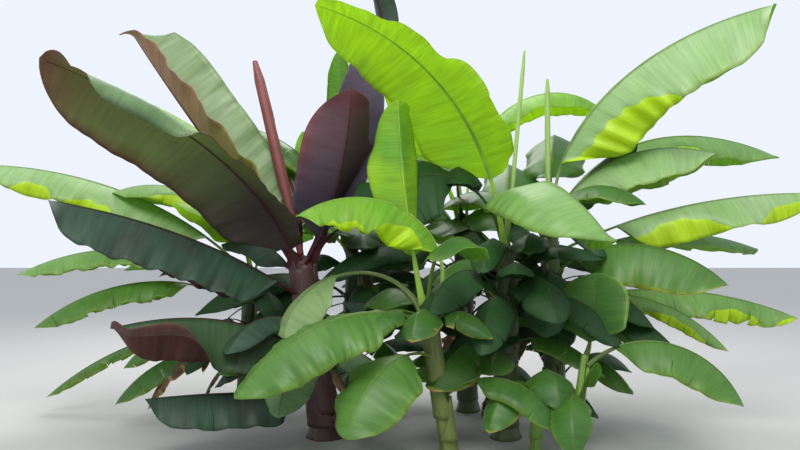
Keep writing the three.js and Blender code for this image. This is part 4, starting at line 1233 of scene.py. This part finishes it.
@cache
def leaf_material(tone, face):
    """One face of a blade: its colour in broad patches, with streaks and pleats by the veins, painted glow in
    the lobes, yellow and then brown where it is dry, and part of the light let through in the tone's own
    colour.
    The under faces of MARGIN_TONES redden with the lateral share or the share along, whichever is more, to
    the power MARGIN_POWER, and turn to their patch colour towards the base. EDGE_TONES get a light edge."""
    colours = TONES[tone]
    base, patch = colours[face]
    material, tree, shader, output = new_material(tone + "_" + face)
    ridge = PLEAT if tone in PLEAT_TONES else 1.0
    veins = group_node(tree, veins_group(), Bump=VEIN_BUMP[face] * ridge)
    wear = group_node(tree, wear_group())
    patches = group_node(tree, patches_group(), Scale=3.5, Contrast=3.0)
    if tone in MARGIN_TONES and face == "under":
        share, _ = map_axes(tree, "wear")
        edge = math_of(tree, "POWER", math_of(tree, "MAXIMUM", lateral_of(tree), share), MARGIN_POWER)
        flush = math_of(tree, "MULTIPLY", math_of(tree, "SUBTRACT", FLUSH_END, share), FLUSH_RATE, clamp=True)
        soft = math_of(tree, "MULTIPLY", patches.outputs[0], MARGIN_SOFT)
        margin = MARGIN_PINK if tone == "amber" else MARGIN_RED
        colour = mix_of(tree, math_of(tree, "ADD", edge, soft, clamp=True), base, margin)
        colour = mix_of(tree, flush, colour, patch)
    else:
        colour = mix_of(tree, patches.outputs[0], base, patch)
    if tone in EDGE_TONES:
        edge = math_of(tree, "POWER", lateral_of(tree), EDGE_POWER)
        colour = mix_of(tree, math_of(tree, "MULTIPLY", edge, EDGE_SHARE), colour, EDGE_LIGHT)
    streak = shade_of(tree, veins.outputs["Fine"], FINE_SHADE)
    pleat = shade_of(tree, veins.outputs["Broad"], BROAD_SHADE * ridge)
    shade = math_of(tree, "MULTIPLY", streak, pleat)
    lobe, _ = map_axes(tree, "light")
    # painted glow: the lobes turn bright lime as if lit from behind
    light = ramp_of(tree, lobe, 0.45, 0.55)
    colour = mix_of(tree, 1.0, mix_of(tree, light, colour, LIT), shade, "MULTIPLY")
    colour = mix_of(tree, wear.outputs["Yellow"], colour, YELLOW)
    colour = mix_of(tree, wear.outputs["Dry"], colour, DRY)
    tree.links.new(colour, shader.inputs["Base Color"])
    tree.links.new(veins.outputs["Normal"], shader.inputs["Normal"])
    roughness, specular = GLOSSY if face == "upper" and tone not in DULL_TONES else DULL
    shader.inputs["Roughness"].default_value = roughness
    shader.inputs["Specular IOR Level"].default_value = specular
    glow = mix_of(tree, 1.0, mix_of(tree, light, colours["through"], LIT_THROUGH), shade, "MULTIPLY")
    glow = mix_of(tree, wear.outputs["Dry"], glow, DRY)
    fresh = math_of(tree, "SUBTRACT", 1.0, wear.outputs["Dry"])
    let_through(tree, output, shader, glow, math_of(tree, "MULTIPLY", fresh, colours["share"]))
    return material


@cache
def rib_material(tone):
    """The stalk and rib of a blade of this tone, in soft patches, with light let through."""
    material, tree, shader, output = new_material(tone + "_rib")
    colour = TONES[tone]["rib"]
    patches = group_node(tree, patches_group(), Scale=6.0, Contrast=2.5)
    blend = mix_of(tree, patches.outputs[0], colour, tuple(channel * RIB_PATCH for channel in colour))
    tree.links.new(blend, shader.inputs["Base Color"])
    shader.inputs["Roughness"].default_value = 0.42
    let_through(tree, output, shader, blend, RIB_THROUGH)
    return material


@cache
def stem_material(tone):
    """Sheaths in two colours by streaks that run up the stem, in patches, browner towards a sheath's free
    edge, with fibres raised a little."""
    base, dull = SHEATH_COLOURS[tone]
    material, tree, shader, _ = new_material(tone + "_sheath")
    fibre = streaks_of(tree, map_axes(tree, "sheath"), FIBRES, 4.0)
    patches = group_node(tree, patches_group(), Scale=7.0, Contrast=4.0)
    over = math_of(tree, "SUBTRACT", fibre, FIBRE_FROM)
    streak = math_of(tree, "MULTIPLY", over, FIBRE_GAIN, clamp=True)
    colour = mix_of(tree, math_of(tree, "MULTIPLY", streak, patches.outputs[0]), base, dull)
    _, stand = map_axes(tree, "wrap")
    colour = mix_of(tree, ramp_of(tree, stand, 0.10, 0.0, 0.8), colour, SHEATH_EDGE)
    tree.links.new(colour, shader.inputs["Base Color"])
    tree.links.new(bump_of(tree, fibre, 0.5, FIBRE_HEIGHT), shader.inputs["Normal"])
    shader.inputs["Roughness"].default_value = 0.5
    return material


def make_stage():
    """A pale floor at the ground, an even pale surround, and two large soft lights above, behind and in
    front."""
    half = FLOOR_HALF
    corners = [(-half, -half, 0), (half, -half, 0), (half, half, 0), (-half, half, 0)]
    mesh = bpy.data.meshes.new("floor")
    mesh.from_pydata(corners, [], [(0, 1, 2, 3)])
    floor = new_object("floor", mesh)
    material, _, shader, _ = new_material("floor")
    shader.inputs["Base Color"].default_value = FLOOR_COLOUR
    shader.inputs["Roughness"].default_value = 0.9
    mesh.materials.append(material)
    world = bpy.data.worlds.new("surround")
    world.use_nodes = True
    sky = world.node_tree.nodes["Background"]
    sky.inputs["Color"].default_value = SKY_COLOUR
    sky.inputs["Strength"].default_value = 1.0
    bpy.context.scene.world = world
    for name, (place, size, power) in LIGHTS.items():
        lamp = bpy.data.lights.new(name, "AREA")
        lamp.shape = "DISK"
        lamp.size = size
        lamp.energy = power
        lamp.color = LIGHT_COLOUR
        holder = new_object(name, lamp)
        holder.location = place
        aim = Vector(LIGHT_TARGET) - Vector(place)
        holder.rotation_euler = aim.to_track_quat("-Z", "Y").to_euler()


def make_camera():
    """The camera at the photo's place and angle."""
    lens = bpy.data.cameras.new("camera")
    lens.lens = CAMERA_LENS
    lens.sensor_width = CAMERA_SENSOR
    lens.sensor_fit = "HORIZONTAL"
    camera = new_object("camera", lens)
    camera.location = CAMERA_PLACE
    camera.rotation_euler = (math.radians(90 + CAMERA_TILT), 0, 0)
    bpy.context.scene.camera = camera
    bpy.context.scene.view_settings.view_transform = "Standard"
    bpy.context.scene.view_settings.look = "None"


for stem_name in STEMS:
    stem_piece(stem_name)
for spear_name in SPEARS:
    spear_piece(spear_name)
by_node = {}
for order, frond in enumerate(all_fronds()):
    by_node.setdefault(frond["node"], []).append((order, frond))
for node, fronds in by_node.items():
    frond_piece(node, fronds)
make_stage()
make_camera()
